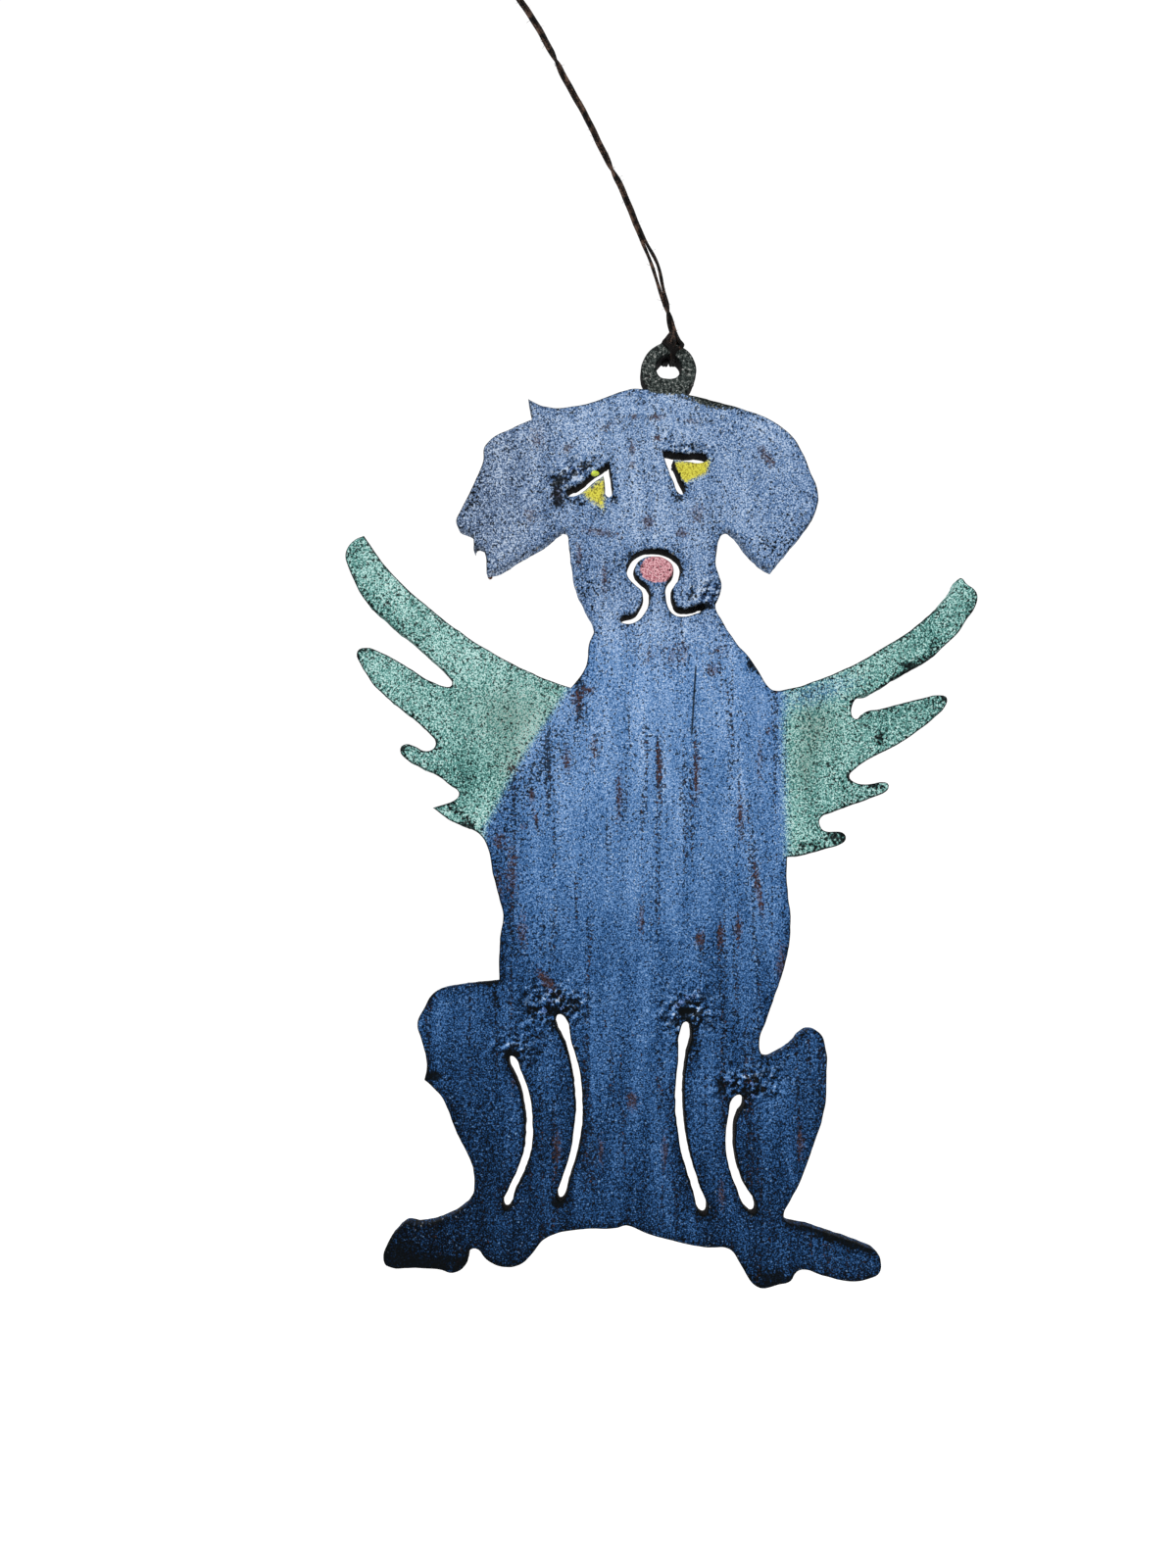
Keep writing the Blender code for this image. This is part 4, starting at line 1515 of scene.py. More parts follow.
@dataclass(frozen=True)
class Paintwork:
    """Where each colour, rust and soot lies on the front, as masks from listed patches.

    A row gives a patch's place across and up, its reach either way, its strength and, where it
    is turned, its angle in degrees.
    """

    ring_rise: float = -0.4
    scorched: Blot = Blot(6.2, -5.2, 4.0, 0.9, 0.9, -14.0)
    overspray: Blot = Blot(21.5, -47.8, 7.5, 2.6, 0.5, 16.0)
    left_border: tuple[tuple[float, float], ...] = (
        (-68.0, -26.8), (-65.8, -25.6), (-60.8, -23.0), (-55.6, -19.9), (-52.6, -17.9),
        (-47.5, -14.5),
    )
    left_lean: float = 0.86
    right_border: float = 16.6
    right_lean: float = -0.03
    tones: tuple[tuple[float, float], ...] = (
        (-134.0, 0.18), (-129.0, 0.23), (-122.0, 0.265), (-109.0, 0.335), (-90.0, 0.45),
        (-73.0, 0.57), (-51.0, 0.68), (-41.0, 0.715), (-24.0, 0.735), (0.0, 0.74),
    )
    nose_at: tuple[float, float] = (-1.65, -29.7)
    nose_size: tuple[float, float] = (2.6, 2.05)
    eye_left: tuple[tuple[float, float], ...] = ((-12.9, -18.6), (-9.6, -20.9), (-9.2, -16.0))
    eye_right: tuple[tuple[float, float], ...] = (
        (0.2, -14.0), (2.3, -17.0), (5.6, -15.6), (6.0, -13.7),
    )
    rust_flecks: tuple[Blot, ...] = patches(
        (-11.8, -47.5, 0.9, 0.6, 0.9), (-15, -57.9, 0.6, 2.4, 0.86), (-20.2, -63, 0.5, 1, 1),
        (-19.6, -66.2, 0.4, 1.8, 0.8, 10), (-25, -69.5, 1.05, 1.5, 0.69),
        (-7.3, -63, 0.55, 4, 0.82), (-21.3, -67.6, 0.6, 0.5, 0.8), (-1.4, -58.7, 0.55, 4.5, 0.75),
        (4.1, -60, 0.55, 5, 0.82), (14.7, -53.6, 0.4, 0.7, 0.8), (-29.6, -54.2, 0.8, 0.5, 0.6),
        (13.2, -77, 0.5, 5, 0.95, 8), (4.5, -84, 0.7, 1.4, 0.95), (7.6, -83.5, 0.55, 2, 0.86),
        (10.3, -82.5, 0.6, 2.4, 0.8), (-4, -81, 0.5, 3, 0.77), (-18, -90.3, 2.2, 0.7, 1.1, -50),
        (-5.4, -108, 0.95, 1.6, 0.86), (7.8, -121.6, 0.6, 2.4, 0.7), (19.4, -114, 0.6, 3, 0.7),
        (-16.4, -114.6, 0.6, 3, 0.7), (-0.6, -115.4, 0.5, 3, 0.8), (-9.2, -8.6, 1.8, 1, 0.5, 30),
        (-5.1, -7.3, 0.6, 0.45, 1), (-1.7, -7.4, 1.3, 0.45, 0.95), (3.4, -7.9, 1.4, 0.4, 0.75, -12),
        (-5.4, -12, 0.4, 1.2, 0.95), (-5.3, -14.4, 0.5, 0.8, 0.8), (-14.9, -11.9, 0.9, 0.9, 0.8),
        (-19.4, -10.6, 1.5, 2.2, 0.6), (-16.4, -18.8, 1, 2, 0.8), (-20.4, -21.8, 1.6, 1.8, 0.6),
        (-10, -24.3, 3.4, 0.7, 0.75, -12), (-3, -22.8, 1, 1.3, 0.85), (2, -24.4, 1.2, 0.7, 0.9),
        (4.2, -21.6, 1.4, 1.8, 0.7), (14.4, -13.2, 0.8, 2.2, 0.85, 35),
        (-1.6, -10.4, 0.6, 0.5, 1.1), (-13.2, -27.6, 0.6, 2.6, 0.75), (-9.5, -31, 0.6, 3, 0.7),
        (7.6, -28, 1.2, 2.2, 0.6), (-0.6, -41.8, 6, 2.6, 0.36), (-3, -43.2, 0.6, 1.6, 0.3),
        (0.4, -43.2, 0.6, 2, 0.3), (2.2, -42.4, 0.6, 2, 0.3), (7.6, -42, 1.6, 1.8, 0.38),
        (6.4, -44.6, 1.05, 0.9, 0.77), (-13.5, -49, 1.05, 2, 0.69), (-23, -74, 1.05, 5, 0.65),
        (-25.2, -77, 0.95, 4, 0.6), (-21.5, -83, 0.95, 3, 0.65), (-11, -56, 0.85, 2.6, 0.6),
        (10.6, -66, 0.85, 4, 0.65), (16.6, -88, 0.95, 4, 0.69), (-10, -115.4, 0.5, 2.4, 0.7),
        (-22.6, -104, 0.6, 3, 0.6), (13.4, -58, 0.5, 5, 0.6), (-23, -59, 1.4, 0.9, 0.6),
    )
    # Sooty patches. The narrow one at (-4.3, -29) stands partly for painted shade along the nose's
    # left side.
    soot_and_shade_spots: tuple[Blot, ...] = patches(
        (-12.6, -14.6, 3.4, 1.1, 0.65, 24), (-16.4, -16.8, 1.3, 1.4, 0.75),
        (-16.4, -19.8, 1, 1.6, 0.75), (-13.4, -19.9, 1.9, 0.8, 0.7), (3.1, -11.6, 2.3, 0.6, 0.6),
        (-0.2, -10.6, 0.8, 0.5, 0.7), (1.4, -19.2, 1.2, 0.8, 0.75), (6.4, -14.6, 0.6, 1.6, 0.55),
        (-7.8, -19.3, 1, 1.1, 0.6), (-4.3, -29, 0.5, 1.3, 0.6), (5.2, -35.2, 1.9, 0.5, 1.5, 18),
        (3.5, -33.4, 0.9, 0.9, 0.9), (-5.6, -27.5, 0.8, 1.8, 0.7), (-11.5, -33, 1.6, 4, 0.45),
        (-16.6, -94.6, 1.1, 0.5, 1.1), (-16.6, -94.5, 4.6, 3.6, 0.3), (-13.8, -93.6, 0.9, 1.4, 0.7),
        (-19.8, -95.4, 0.5, 1.9, 0.7), (2.6, -95, 0.9, 1.5, 1), (2.6, -95.4, 3.6, 4.2, 0.3),
        (0.2, -99.6, 0.6, 2.4, 0.55), (4.2, -100.6, 0.9, 2.4, 0.6), (8.2, -98.8, 0.7, 2.6, 0.5),
        (11.2, -104.8, 5, 2.4, 0.34, 15), (7.7, -105.8, 0.6, 1.8, 1.1, 22),
        (11.4, -107, 1.8, 0.5, 0.9, 20), (15.4, -104.5, 0.9, 2.4, 0.35, -35),
        (21.2, -98.4, 2.2, 1, 0.2), (20, -112, 1.4, 2.4, 0.3), (-22.4, -101.2, 2.6, 2.2, 0.42),
        (-15.8, -18.4, 1.8, 2, 0.25), (-22, -64, 8, 3, 0.22, 56.8), (-23.3, -100.9, 0.9, 0.7, 1.2),
        (-27, -90.4, 2.2, 0.4, 0.9), (-25.6, -93, 0.7, 2.2, 0.8, 15),
        (-34.6, -104.3, 1.1, 0.8, 1.4), (-16.6, -123, 1, 0.8, 1.2), (-39.6, -130, 3.4, 2.6, 0.7),
        (-33, -131.6, 8, 1.2, 0.8), (15.4, -134, 2.6, 1.6, 1), (28, -132.4, 4, 2.2, 0.3),
        (24, -128.2, 7, 0.7, 0.8, -18), (19, -101, 1.6, 1.6, 0.25), (16, -102.6, 2.2, 0.7, 0.35),
        (35.8, -44.3, 4.8, 0.9, 0.7, 33), (27.4, -50, 0.7, 1.1, 1.2), (31, -54.5, 0.8, 1.4, 0.9),
        (26.4, -60, 0.8, 2, 0.6), (30.5, -61.7, 1.6, 0.6, 0.6), (24.6, -69.2, 1.8, 0.7, 0.9),
        (20.6, -70.4, 2.4, 0.9, 0.7), (40.5, -48.9, 0.8, 0.8, 0.7),
        (44.2, -35.6, 1.2, 2.2, 0.6, -20), (34.8, -43.6, 0.9, 0.6, 0.8),
        (-31.6, -65, 2.4, 0.9, 0.6, -20), (-39.2, -56.2, 0.8, 0.5, 0.7),
        (-34.4, -55.2, 1.2, 0.8, 0.7), (-45.8, -42.2, 0.5, 0.9, 0.8),
        (-29.4, -67, 1.6, 0.8, 0.7, -35), (-43.6, -35.4, 2.4, 0.5, 0.5, -52),
        (12.4, -44, 1.3, 1, 0.8), (8, -5.6, 3.8, 0.7, 0.5, -19), (14.5, -26, 2.6, 1.6, 0.55),
        (-29.6, -19, 1.4, 3, 0.5),
    )
    pitted: tuple[Blot, ...] = patches(
        (-19.2, -58.6, 9, 1.7, 0.45, 56.8), (-24, -20, 8, 9, 0.15), (-20, -62, 4, 12, 0.35, -20),
        (-22, -84, 4, 10, 0.25), (-26, -104, 7, 10, 0.15), (19, -106, 7, 9, 0.15),
        (-17, -95, 5, 4, 0.3), (2.6, -95, 4, 4, 0.25), (13, -104, 6, 4, 0.25),
        (-6, -122, 16, 8, 0.05), (12, -78, 4, 14, 0.12), (-42, -36, 4, 1.6, 0.15, -48),
        (-40, -44, 6, 1.2, 0.15, -30), (6, -24, 4, 6, 0.12), (-9, -31, 3, 7, 0.15),
        (16, -25, 3, 3, 0.25), (22, -58, 4, 8, 0.1),
    )
    # Patches of lighter and darker tone; the three lighter ones at the leg cuts' slag are painted
    # highlights.
    tone_patches: tuple[Blot, ...] = patches(
        (-18.8, -58.2, 9, 2.2, -0.06, 58.6), (-17, -92.8, 3, 1, 0.1, -20),
        (4.2, -94.2, 2.6, 1.2, 0.1, 20), (11, -103.8, 3, 1, 0.08, 20), (-5.4, -74, 1.2, 12, 0.05),
        (0.6, -76, 1.2, 12, 0.04), (-24.5, -20, 7, 7, -0.07), (-11, -30, 4, 7, -0.08),
        (5.5, -30, 2.5, 5, -0.06), (-5, -62, 9, 16, 0.06), (15, -19, 6, 9, -0.05),
        (-3, -14, 9, 5, 0.03), (-24, -82, 3.5, 11, -0.1), (11.5, -68, 5, 17, 0.035),
        (-4, -38, 7, 5, 0.05), (-18, -60, 5.5, 9, 0.09, -20), (-30, -106, 6.5, 16, -0.12),
        (-5, -104, 6, 14, 0.07), (-37, -129.5, 7, 5, -0.18), (-28, -17, 9, 10, -0.05),
        (-20.4, -67, 3.6, 8, -0.05), (-18, -110, 2.5, 12, -0.06), (6.4, -112, 2.5, 10, 0.02),
        (26, -131.6, 7, 3, 0.08), (-34, -96, 4, 4, 0.05), (-25, -128, 6, 4, -0.06),
    )
    mint_patches: tuple[Blot, ...] = patches(
        (-21.4, -54.9, 9, 1, 0.15, 58.6), (-31, -60, 6, 5, -0.07), (28, -50, 14, 12, -0.07),
        (37, -40, 6, 5, -0.05), (-38, -33, 6, 2, 0.08, -44), (-42, -36, 5, 1.2, -0.16, -50),
        (-30, -43, 5, 2, 0.06, -30), (-26, -52, 6, 5, -0.02), (-38, -47, 5, 3, -0.06, -30),
        (-46, -27, 2, 3, -0.08), (-29, -60.5, 4, 4, -0.08), (30, -42, 6, 2, 0.1, 30),
        (22.6, -52, 4, 5, 0.04), (34.5, -50.6, 5, 2.6, -0.08, 20), (21.8, -64, 3.5, 6, -0.1),
        (43.5, -35, 2, 3, -0.06), (38.5, -39, 4, 3, -0.07), (-30, -59, 5, 5, -0.06),
    )
    crusts: tuple[Blot, ...] = patches(
        (-16.6, -93.8, 4.6, 3, 1.3), (2.8, -94.8, 4, 3.4, 1.2), (11.6, -105.4, 4.8, 2.6, 1, 10),
        (-22, -100.4, 3.4, 2.4, 0.9), (5.8, -33.2, 2.6, 1.6, 1), (-14, -15.6, 3.6, 2, 0.9, 25),
        (2.6, -12, 3.4, 1, 0.6),
    )
    olive_patches: tuple[Blot, ...] = patches(
        (-23, -51, 6, 4, 0.6), (-21.5, -58, 4, 4, 0.5), (21.5, -53, 3, 4, 0.55),
        (20, -59, 1.5, 3, 0.5), (-41, -41, 2, 1, 0.6),
    )

    def wings(self, x: Array, z: Array) -> Array:
        """How far the mint of the wings covers each place.

        Args:
            x: The places across.
            z: The places up.

        Returns:
            The cover, from 0 to 1.
        """
        border = np.interp(z, *zip(*self.left_border))
        head = ((z > -33.0) & (x > -36.0)) | ((z > -45.5) & (x > -17.0))
        left = smooth_step((border - x) * self.left_lean, -0.9, 1.7) * (x < -12.0) * ~head
        left *= smooth_step(-z, 74.0, 72.0)
        edge = x - self.right_border - (z + 60.0) * self.right_lean
        right = smooth_step(edge, -1.2, 2.2) * smooth_step(-z, 30.2, 31.0)
        right *= smooth_step(-z, 73.0, 72.0)
        right *= 1 - self.overspray.at(x, z)
        return np.clip(left + right, 0.0, 1.0)

    def masks(self, x: Array, z: Array, rim: Array) -> dict[str, Array]:
        """All the masks at the plate's points.

        Args:
            x: The points' places across.
            z: The points' places up.
            rim: Their distance from the nearest cut edge.

        Returns:
            Mask values by name.
        """
        wing, head = self.wings(x, z), smooth_step(z, -44.0, -34.0)
        # The coat's tone, lighter towards the top, with its patches, some of them painted
        # highlights on the slag.
        tone = np.interp(z, *zip(*self.tones)) + blots(x, z, self.tone_patches)
        ring = np.hypot(x, z - self.ring_rise)
        on_ring = smooth_step(ring, 4.6, 3.6) * smooth_step(z, -4.4, -3.2)
        yellow = inside(x, z, self.eye_left, 2.0) * 0.95 + inside(x, z, self.eye_right, 1.3)
        (nose_x, nose_z), (wide, tall) = self.nose_at, self.nose_size
        pink = smooth_step(np.hypot((x - nose_x) / wide, (z - nose_z) / tall), 1.12, 0.85)
        speck = 0.1 + 0.1 * head + 0.2 * wing + blots(x, z, self.pitted)
        speck += (0.25 - 0.1 * head) * smooth_step(rim, 2.2, 0.2) - 0.6 * yellow - 0.3 * pink
        return {
            "tone": tone - 0.08 * smooth_step(rim, 1.6, 0.2),
            "wing": wing,
            "mint": 0.76 + blots(x, z, self.mint_patches),
            "chalk": head * (0.2 + 0.2 * smooth_step(-x, 10.0, 28.0)),
            "streaks": smooth_step(z, -34.0, -46.0) * (1 - wing),
            "olive": np.clip(blots(x, z, self.olive_patches), 0.0, 1.0),
            "yellow": yellow,
            "pink": pink,
            "crust": np.clip(blots(x, z, self.crusts), 0.0, 1.0),
            "coarse": smooth_step(-z, 50.0, 115.0),
            "bare": 1.3 * on_ring + 0.25 * smooth_step(rim, 0.7, 0.1) + self.scorched.at(x, z),
            "speck": speck,
            "rust": blots(x, z, self.rust_flecks),
            # Sooty patches and sooty cut edges, with the painted shade beside the nose.
            "soot_and_shade": (blots(x, z, self.soot_and_shade_spots)
                     + (0.35 - 0.25 * head) * smooth_step(rim, 0.9, 0.1)),
        }


@dataclass(frozen=True)
class SlagField:
    """Lumps of slag thrown up round a pierce."""

    x: float
    z: float
    wide: float
    tall: float
    count: int
    height: float

    def lumps(self, rng: np.random.Generator) -> list[Blot]:
        """The field's lumps.

        Args:
            rng: Source of their places and sizes.

        Returns:
            Each lump as a patch whose strength is its height.
        """
        made = []
        for _ in range(self.count):
            dx, dz = rng.normal(0.0, 0.5, 2)
            size = rng.uniform(0.3, 0.75)
            made.append(Blot(self.x + dx * self.wide, self.z + dz * self.tall, size,
                             size * rng.uniform(0.6, 1.2), self.height * rng.uniform(0.4, 1.0),
                             rng.uniform(0.0, 180.0)))
        return made


@dataclass(frozen=True)
class Bumps:
    """Height and size of one kind of unevenness."""

    height: float
    size: float


@dataclass(frozen=True)
class DogPlate:
    """The plate: its faces, its burnt cut walls and its pitted relief."""

    face_spacing: float = 0.4
    back_spacing: float = 0.85
    edge_spacing: float = 0.4
    rim_inset: float = 0.34
    wall_rows: tuple[tuple[float, float], ...] = (
        (0.03, 0.5), (0.12, 0.17), (0.32, 0.0), (0.9, 0.0), (1.6, 0.0), (2.3, 0.0),
        (2.85, 0.0), (3.08, 0.2),
    )
    wobble: float = 0.045
    wobble_seed: int = 3
    striation: float = 0.05
    striation_length: float = 0.5
    face_seed: int = 5
    back_seed: int = 6
    scatter: float = 0.14
    rim_clearance: float = 0.6
    far: float = 3.0
    pits: Bumps = Bumps(0.035, 0.75)
    dents: Bumps = Bumps(0.03, 1.6)
    pit_seed: int = 11
    swells: Bumps = Bumps(0.05, 5.0)
    swell_seed: int = 12
    back_roughness: float = 1.4
    front_share: float = 0.005
    spray_from: tuple[float, float] = (-12.0, -78.0)
    spray_reach: tuple[float, float] = (0.06, 0.86)
    spray_top: float = -4.2
    spray_distance: float = 60.0
    face: Blot = Blot(-3.0, -23.0, 18.0, 15.0, 1.0)
    burrs: tuple[Blot, ...] = patches(
        (0, -1.9, 1.3, 0.6, 0.3), (2.2, -98.5, 1.6, 2, 0.16), (-13.4, -99, 1.6, 1.6, 0.08),
    )
    narrowing: tuple[Blot, ...] = patches(
        (-2, -28, 12, 18, 0.09), (4.8, -34.9, 3.2, 1.6, 0.42), (-2, -27.2, 4, 1.4, 0.12),
        (-11, -16.5, 4, 3, 0.02), (2.4, -15, 4, 3, 0.02), (-16.4, -97, 2, 3, 0.08),
        (2.4, -98.4, 2, 3, 0.1), (-7.6, -35.6, 2.6, 1.8, 0.2),
    )
    slag: tuple[SlagField, ...] = (
        SlagField(-17.0, -92.6, 3.0, 1.6, 13, 0.42), SlagField(3.6, -93.8, 2.6, 1.4, 9, 0.34),
        SlagField(11.2, -105.8, 3.4, 1.8, 13, 0.36), SlagField(-22.8, -99.6, 1.4, 1.0, 4, 0.25),
        SlagField(5.4, -35.0, 2.4, 1.0, 7, 0.25), SlagField(-13.8, -15.4, 2.6, 1.0, 6, 0.2),
    )
    slag_seed: int = 21
    thickness: float = 3.2
    bead_density: float = 3.2e6
    bead_radii: tuple[float, float] = (0.16, 0.5)
    dross_inset: float = 0.12
    dross_spacing: float = 0.7
    dross_share: float = 0.5
    dross_patches: float = 0.12
    dross_radii: tuple[float, float] = (0.14, 0.42)
    droplet_at: Point = (-10.9, -1.5, -15.6)
    droplet_size: Point = (0.62, 0.4, 0.42)
    droplet_mesh: tuple[int, int] = (12, 24)

    def cut_edges(self, node: Piece) -> list[CutEdge]:
        """The plate's cut edges, from the model's front face.

        Args:
            node: The model's plate.

        Returns:
            One edge for the outline and one for each cut.
        """
        mesh = node.data
        points = np.zeros(len(mesh.vertices) * 3, np.float32)
        mesh.vertices.foreach_get("co", points)
        points = points.reshape(-1, 3).astype(float) / MM
        front = points[:, 1].min()
        keys = [tuple(row) for row in np.round(points[:, ::2], 3)]
        following: dict[tuple, set] = {}
        for face in mesh.polygons:
            if all(points[v, 1] < front + 0.01 for v in face.vertices):
                ring = [keys[v] for v in face.vertices]
                for start, end in zip(ring, ring[1:] + ring[:1]):
                    if start in following.get(end, ()):
                        following[end].discard(start)
                    else:
                        following.setdefault(start, set()).add(end)
        edges = []
        left = {start: next(iter(ends)) for start, ends in following.items() if ends}
        while left:
            at = min(left)
            loop = []
            while at in left:
                loop.append(at)
                at = left.pop(at)
            edge = CutEdge.smoothed(np.array(loop), self.edge_spacing)
            edge.sway(Relief(self.wobble_seed), len(edges), self.wobble, self.edge_spacing)
            burr = blots(edge.points[:, 0], edge.points[:, 1], self.burrs)
            edge.points = edge.moved(burr)
            edges.append(edge)
        return edges

    def set_insets(self, edges: list[CutEdge]) -> None:
        """Finds how far the faces' rims may lie inside the edges without meeting.

        Args:
            edges: The cut edges, whose insets it sets.
        """
        tree = nearest_of(np.vstack([edge.points for edge in edges]))
        for edge in edges:
            inset = np.full(len(edge.points), self.rim_inset)
            for i, (place, out) in enumerate(zip(edge.points, edge.outward)):
                while inset[i] > 0.08:
                    x, z = place - out * inset[i]
                    if tree.find((x, z, 0.0))[2] >= 0.9 * inset[i]:
                        break
                    inset[i] *= 0.8
            for _ in range(2):
                inset = np.minimum(inset, (np.roll(inset, 1) + inset + np.roll(inset, -1)) / 3)
            edge.inset = inset
            while (crossed := edge.crossed_rim()).any():
                edge.inset = np.where(crossed, edge.inset * 0.8, edge.inset)

    def fill(self, rings: list[Array], spacing: float, seed: int) -> tuple[Array, Array]:
        """Fine triangles between rings of rim points.

        Args:
            rings: The rim points of the outline and of each cut.
            spacing: About how far apart the points inside lie.
            seed: Seed of the small scatter that hides the rows.

        Returns:
            All the points, the rings' first, and the triangles.
        """
        rng = np.random.default_rng(seed)
        starts = np.vstack(rings)
        ends = np.vstack([np.roll(ring, -1, axis=0) for ring in rings])
        tree = nearest_of(starts)
        rows = np.arange(starts[:, 1].min(), starts[:, 1].max(), spacing * math.sqrt(3) / 2)
        inner = []
        for number, z in enumerate(rows):
            cross = (starts[:, 1] <= z) != (ends[:, 1] <= z)
            a, b = starts[cross], ends[cross]
            hits = np.sort(a[:, 0] + (z - a[:, 1]) / (b[:, 1] - a[:, 1]) * (b[:, 0] - a[:, 0]))
            shift = spacing / 2 * (number % 2)
            for low, high in zip(hits[::2], hits[1::2]):
                x = np.arange(math.ceil((low - shift) / spacing), (high - shift) / spacing)
                inner += [(value * spacing + shift, z) for value in x]
        inner = (np.array(inner)
                 + rng.uniform(-self.scatter, self.scatter, (len(inner), 2)) * spacing)
        clear = self.rim_clearance * self.edge_spacing
        keep = [tree.find((x, z, 0.0))[2] > clear for x, z in inner]
        points = np.vstack([starts, inner[keep]])
        links, first = [], 0
        for ring in rings:
            links += [(first + i, first + (i + 1) % len(ring)) for i in range(len(ring))]
            first += len(ring)
        found, _, triangles, *_ = delaunay_2d_cdt([Vector(p) for p in points], links, [], 0, 1e-6)
        if len(found) != len(points):
            raise RuntimeError("the plate's rim rings cross")
        triangles = np.array(triangles)
        doubt = np.all(triangles < len(starts), axis=1)
        centres = points[triangles[doubt]].mean(axis=1)
        odd = np.zeros(len(centres), bool)
        for a, b in zip(starts, ends):
            cross = (a[1] <= centres[:, 1]) != (b[1] <= centres[:, 1])
            odd ^= cross & (centres[:, 0] < a[0] + (centres[:, 1] - a[1])
                            / (b[1] - a[1] + (a[1] == b[1])) * (b[0] - a[0]))
        kept = np.ones(len(triangles), bool)
        kept[doubt] = odd
        return points, triangles[kept]

    def surface(self, edges: list[CutEdge]) -> tuple[Array, list, Array, Array]:
        """The whole closed surface, before its relief.

        Args:
            edges: The cut edges.

        Returns:
            The points, the faces, each point's distance from the nearest cut edge and how well
            the spray reached the wall there.
        """
        ripple, half = Relief(self.wobble_seed), self.thickness / 2
        rims = [edge.rim for edge in edges]
        front, front_faces = self.fill(rims, self.face_spacing, self.face_seed)
        back, back_faces = self.fill(rims, self.back_spacing, self.back_seed)
        count = sum(len(rim) for rim in rims)
        points = [np.column_stack([front[:, 0], np.full(len(front), -half), front[:, 1]]),
                  np.column_stack([back[:, 0], np.full(len(back), half), back[:, 1]])]
        rim = [np.full(len(front), self.far), np.full(len(back), self.far)]
        insets = np.concatenate([edge.inset for edge in edges])
        rim[0][:count] = rim[1][:count] = insets
        sprayed = [np.zeros(len(front) + len(back))]
        faces = [*front_faces.tolist(), *(back_faces[:, ::-1] + len(front)).tolist()]
        total, first = len(front) + len(back), 0
        for number, edge in enumerate(edges):
            n = len(edge.points)
            s = np.arange(n) * self.edge_spacing
            ease = np.minimum(1.0, edge.inset / self.rim_inset)
            taper = np.zeros(n)
            if number:
                in_face = self.face.at(*edge.points.T)
                taper = 0.1 + blots(edge.points[:, 0], edge.points[:, 1], self.narrowing)
                taper += 0.16 * in_face * edge.outward[:, 1]
            toward = np.array(self.spray_from) - edge.points
            facing = np.sum(edge.outward * toward, axis=1) / self.spray_distance
            sprayed_here = np.zeros(n) if number else smooth_step(facing, 0.0, 0.25)
            for sheet in (0, len(front)):
                sprayed[0][sheet + first:sheet + first + n] = sprayed_here
            rows = [np.arange(n) + first]
            for depth, share in self.wall_rows:
                drag = self.striation * ripple.at(s + depth * 0.25, s * 0 + 30 + number,
                                                  self.striation_length)
                drag = drag * ease * smooth_step(np.array(depth), 0.1, 1.0)
                drag = drag + taper * depth / self.thickness
                place = edge.moved(drag - share * edge.inset)
                points.append(np.column_stack([place[:, 0], np.full(n, depth - half), place[:, 1]]))
                rim.append(share * edge.inset if share else np.full(n, max(0.0, depth - 0.32)))
                sprayed.append(sprayed_here)
                rows.append(np.arange(n) + total)
                total += n
            rows.append(np.arange(n) + len(front) + first)
            for near, far in zip(rows, rows[1:]):
                faces += np.column_stack([near, far, np.roll(far, -1), np.roll(near, -1)]).tolist()
            first += n
        return np.vstack(points), faces, np.concatenate(rim), np.concatenate(sprayed)

    def distances(self, points: Array, edges: list[CutEdge], rim: Array) -> Array:
        """Each point's distance from the nearest cut edge, exact on the rims.

        Args:
            points: The surface's points.
            edges: The cut edges.
            rim: The distances known so far, and the far distance where none is.

        Returns:
            The distances.
        """
        tree = nearest_of(np.vstack([edge.points for edge in edges]))
        unknown = rim >= self.far
        result = rim.copy()
        result[unknown] = [tree.find((x, z, 0.0))[2] for x, _, z in points[unknown]]
        return result

    def lifted(self, points: Array, depth: Array, rim: Array, lumps: Array) -> Array:
        """The surface with the pits, dents and swells of both faces and the slag on the front.

        Args:
            points: The points, with flat faces.
            depth: Their share of the way from the front to the back.
            rim: Their distance from the nearest cut edge.
            lumps: Height of the slag at each.

        Returns:
            The points in their last place.
        """
        x, _, z = points.T
        pits, swells = Relief(self.pit_seed), Relief(self.swell_seed)
        relief = (self.pits.height * pits.at(x, z, self.pits.size)
                  + self.dents.height * pits.at(x + 50, z, self.dents.size)
                  + self.swells.height * swells.at(x, z, self.swells.size))
        fade = smooth_step(rim, 0.1, 0.9)
        front, back = depth < self.front_share, depth > 1 - self.front_share
        placed = points.copy()
        placed[front, 1] -= ((relief + 0.5 * np.minimum(lumps, 0.6)) * fade)[front]
        placed[back, 1] += ((relief * self.back_roughness) * fade)[back]
        return placed

    def plate(self, edges: list[CutEdge], material: Material) -> Piece:
        """The plate itself, with its painted masks.

        Args:
            edges: The cut edges.
            material: The plate's finish.

        Returns:
            The piece.
        """
        points, faces, rim, sprayed = self.surface(edges)
        rim = self.distances(points, edges, rim)
        x, y, z = points.T
        depth = (y + self.thickness / 2) / self.thickness
        front = depth < self.front_share
        rng = np.random.default_rng(self.slag_seed)
        lumps = blots(x, z, [lump for group in self.slag for lump in group.lumps(rng)])
        low, high = self.spray_reach
        masks = Paintwork().masks(x, z, rim)
        masks["rim"] = rim
        masks["depth"] = depth
        masks["coat"] = np.where(front, 1.0, low + (high - low) * sprayed * (z < self.spray_top))
        masks["burn"] = np.clip(0.9 - 0.5 * sprayed - self.face.at(x, z), 0.0, 1.0)
        masks["beads"] = lumps * front * smooth_step(rim, 0.3, 0.7)
        placed = self.lifted(points, depth, rim, lumps)
        plate = MeshMaker.piece("painted_plate", placed, faces, material)
        for name, values in masks.items():
            MeshMaker.set_mask(plate.data, name, values)
        return plate

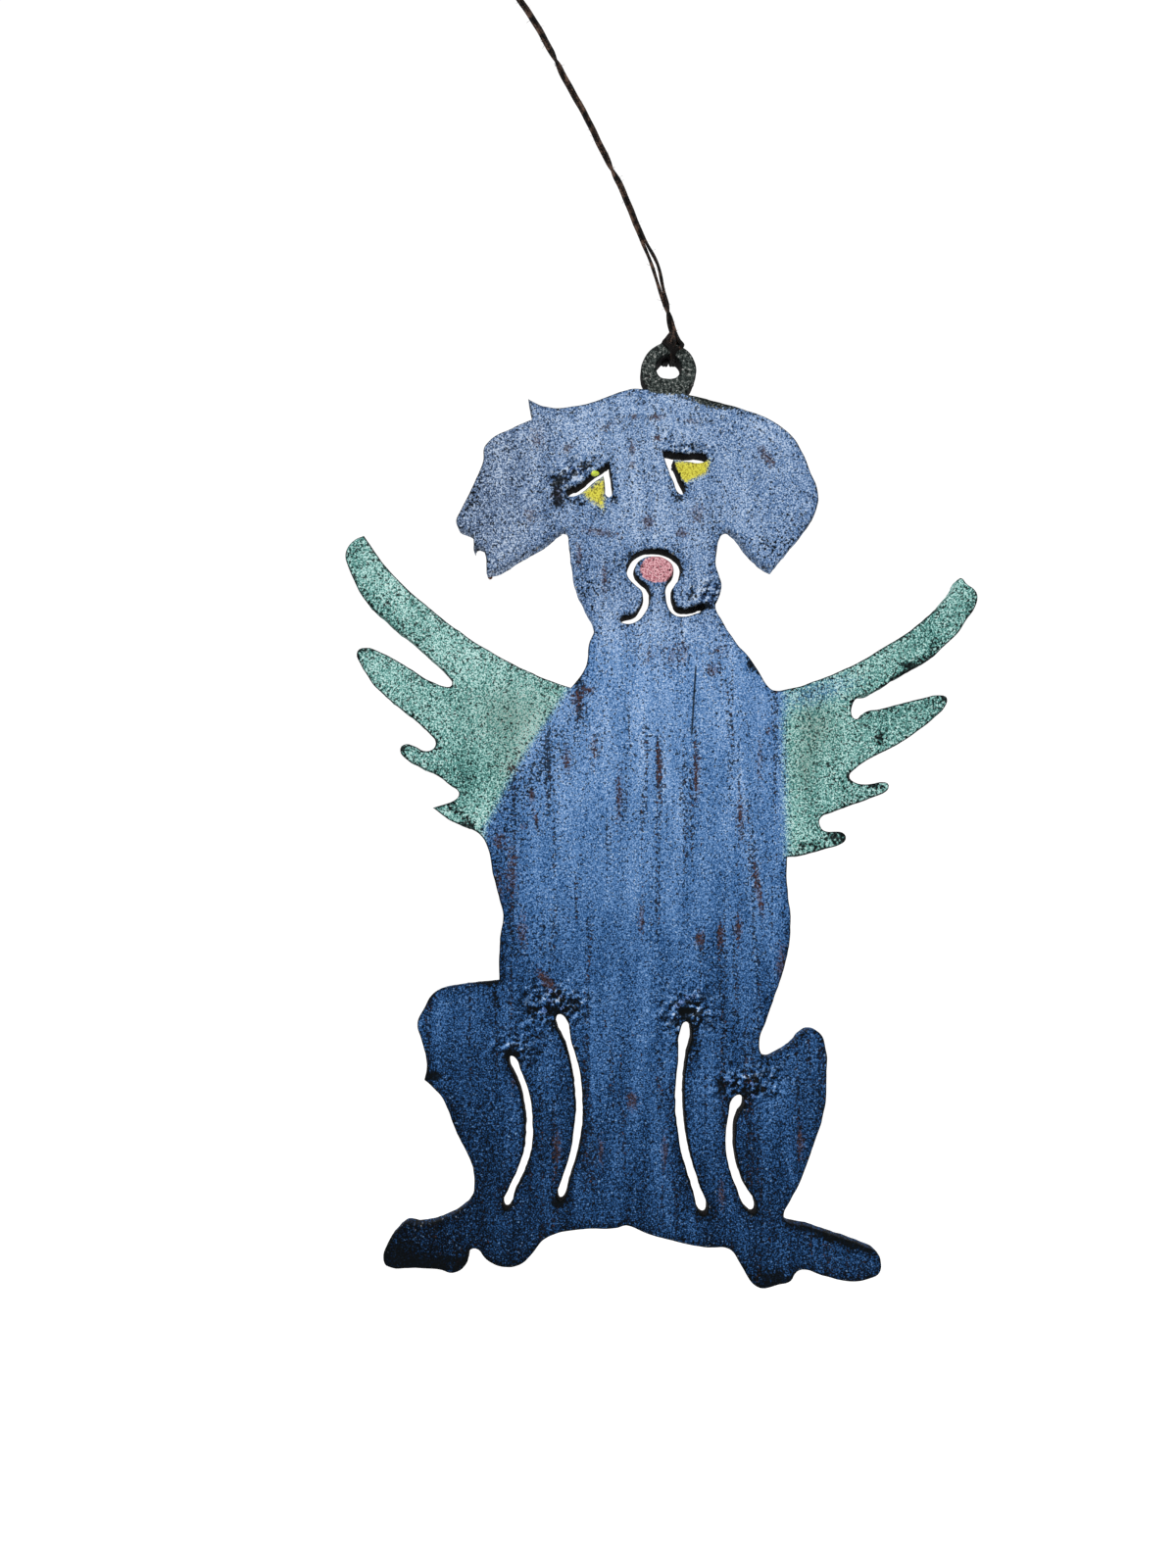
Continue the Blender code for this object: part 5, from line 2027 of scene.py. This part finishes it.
    def build(self, node: Piece) -> None:
        """Makes the plate, and the slag and paint on it.

        Args:
            node: The model's plate.
        """
        edges = self.cut_edges(node)
        LOG.info("cut edges: %s points", [len(edge.points) for edge in edges])
        self.set_insets(edges)
        plate = self.plate(edges, SprayedPlate().material())
        settle(plate, Slot.STEEL, "dog_plate")
        settle(self.spatter(plate, SlagCrust().material()), Slot.STEEL)
        rusty = SlagCrust("rusty_slag", TONES.back[2][1], TONES.back[1][1])
        settle(self.dross(edges, rusty.material()), Slot.STEEL)
        settle(self.droplet(), Slot.STEEL)

    def spatter(self, plate: Piece, material: Material) -> Piece:
        """Beads of slag on the front, thickest round the pierces.

        Args:
            plate: The finished plate, which says where they gather.
            material: Their finish.

        Returns:
            The piece.
        """
        growth = Growth("slag_spatter", density=self.bead_density, size=1.0, detail=3, seed=8)
        gathered = growth.graph.add("GeometryNodeInputNamedAttribute", {"Name": "beads"},
                                    data_type="FLOAT").outputs[0]
        spots = growth.graph.add("GeometryNodeDistributePointsOnFaces", {
            "Mesh": growth.value("Geometry"), "Seed": growth.value("seed"),
            "Density": growth.graph.times(growth.value("density"), gathered)}).outputs[0]
        return growth.bake(plate.data, growth.beads(spots, *self.bead_radii), material)

    def dross(self, edges: list[CutEdge], material: Material) -> Piece:
        """Beads that hang along the back of the cuts.

        Args:
            edges: The cut edges.
            material: The beads' finish.

        Returns:
            The piece.
        """
        points, links = [], []
        for edge in edges:
            ring = edge.moved(-(edge.inset + self.dross_inset))
            links += [(len(points) + i, len(points) + (i + 1) % len(ring))
                      for i in range(len(ring))]
            points += [(x * MM, self.thickness / 2 * MM, z * MM) for x, z in ring]
        mesh = bpy.data.meshes.new("back_edges")
        mesh.from_pydata(points, links, [])
        growth = Growth("back_dross", spacing=self.dross_spacing * MM, size=1.0, detail=2, seed=15)
        graph = growth.graph
        curve = graph.add("GeometryNodeMeshToCurve", {"Mesh": growth.value("Geometry")}).outputs[0]
        spots = graph.add("GeometryNodeCurveToPoints", {
            "Curve": curve, "Length": growth.value("spacing")}, mode="LENGTH").outputs[0]
        patchy = graph.noise(growth.place(), self.dross_patches, 2.0)
        thin = graph.add("GeometryNodeDeleteGeometry", {
            "Geometry": spots, "Selection": graph.math("LESS_THAN", patchy, self.dross_share)},
            domain="POINT").outputs[0]
        return growth.bake(mesh, growth.beads(thin, *self.dross_radii), material)

    def droplet(self) -> Piece:
        """The bead of wet paint that ran into the left eye's cut.

        Returns:
            The piece.
        """
        rings, sides = self.droplet_mesh
        turn, rise = np.meshgrid(round_turn(sides), np.linspace(0.12, math.pi - 0.12, rings))
        bulge = 1 + 0.12 * np.sin(3 * turn + rise)
        ball = np.stack([np.cos(turn) * np.sin(rise) * bulge, np.sin(turn) * np.sin(rise) * bulge,
                         np.cos(rise)], axis=-1).reshape(-1, 3)
        rows = np.arange(len(ball)).reshape(rings, sides)
        faces = [rows[0][::-1].tolist(), rows[-1].tolist()]
        for high, low in zip(rows, rows[1:]):
            faces += np.column_stack([high, low, np.roll(low, -1), np.roll(high, -1)]).tolist()
        points = np.array(self.droplet_at) + ball * np.array(self.droplet_size)
        return MeshMaker.piece("paint_droplet", points, faces, WetPaint().material())


def main() -> None:
    """Builds the object and its studio in order."""
    logging.basicConfig(level=logging.INFO, format="%(message)s")
    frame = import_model()
    Studio().build()
    Twine().build()
    DogPlate().build(frame["nodes"]["dog_plate"])


if __name__ == "__main__":
    main()
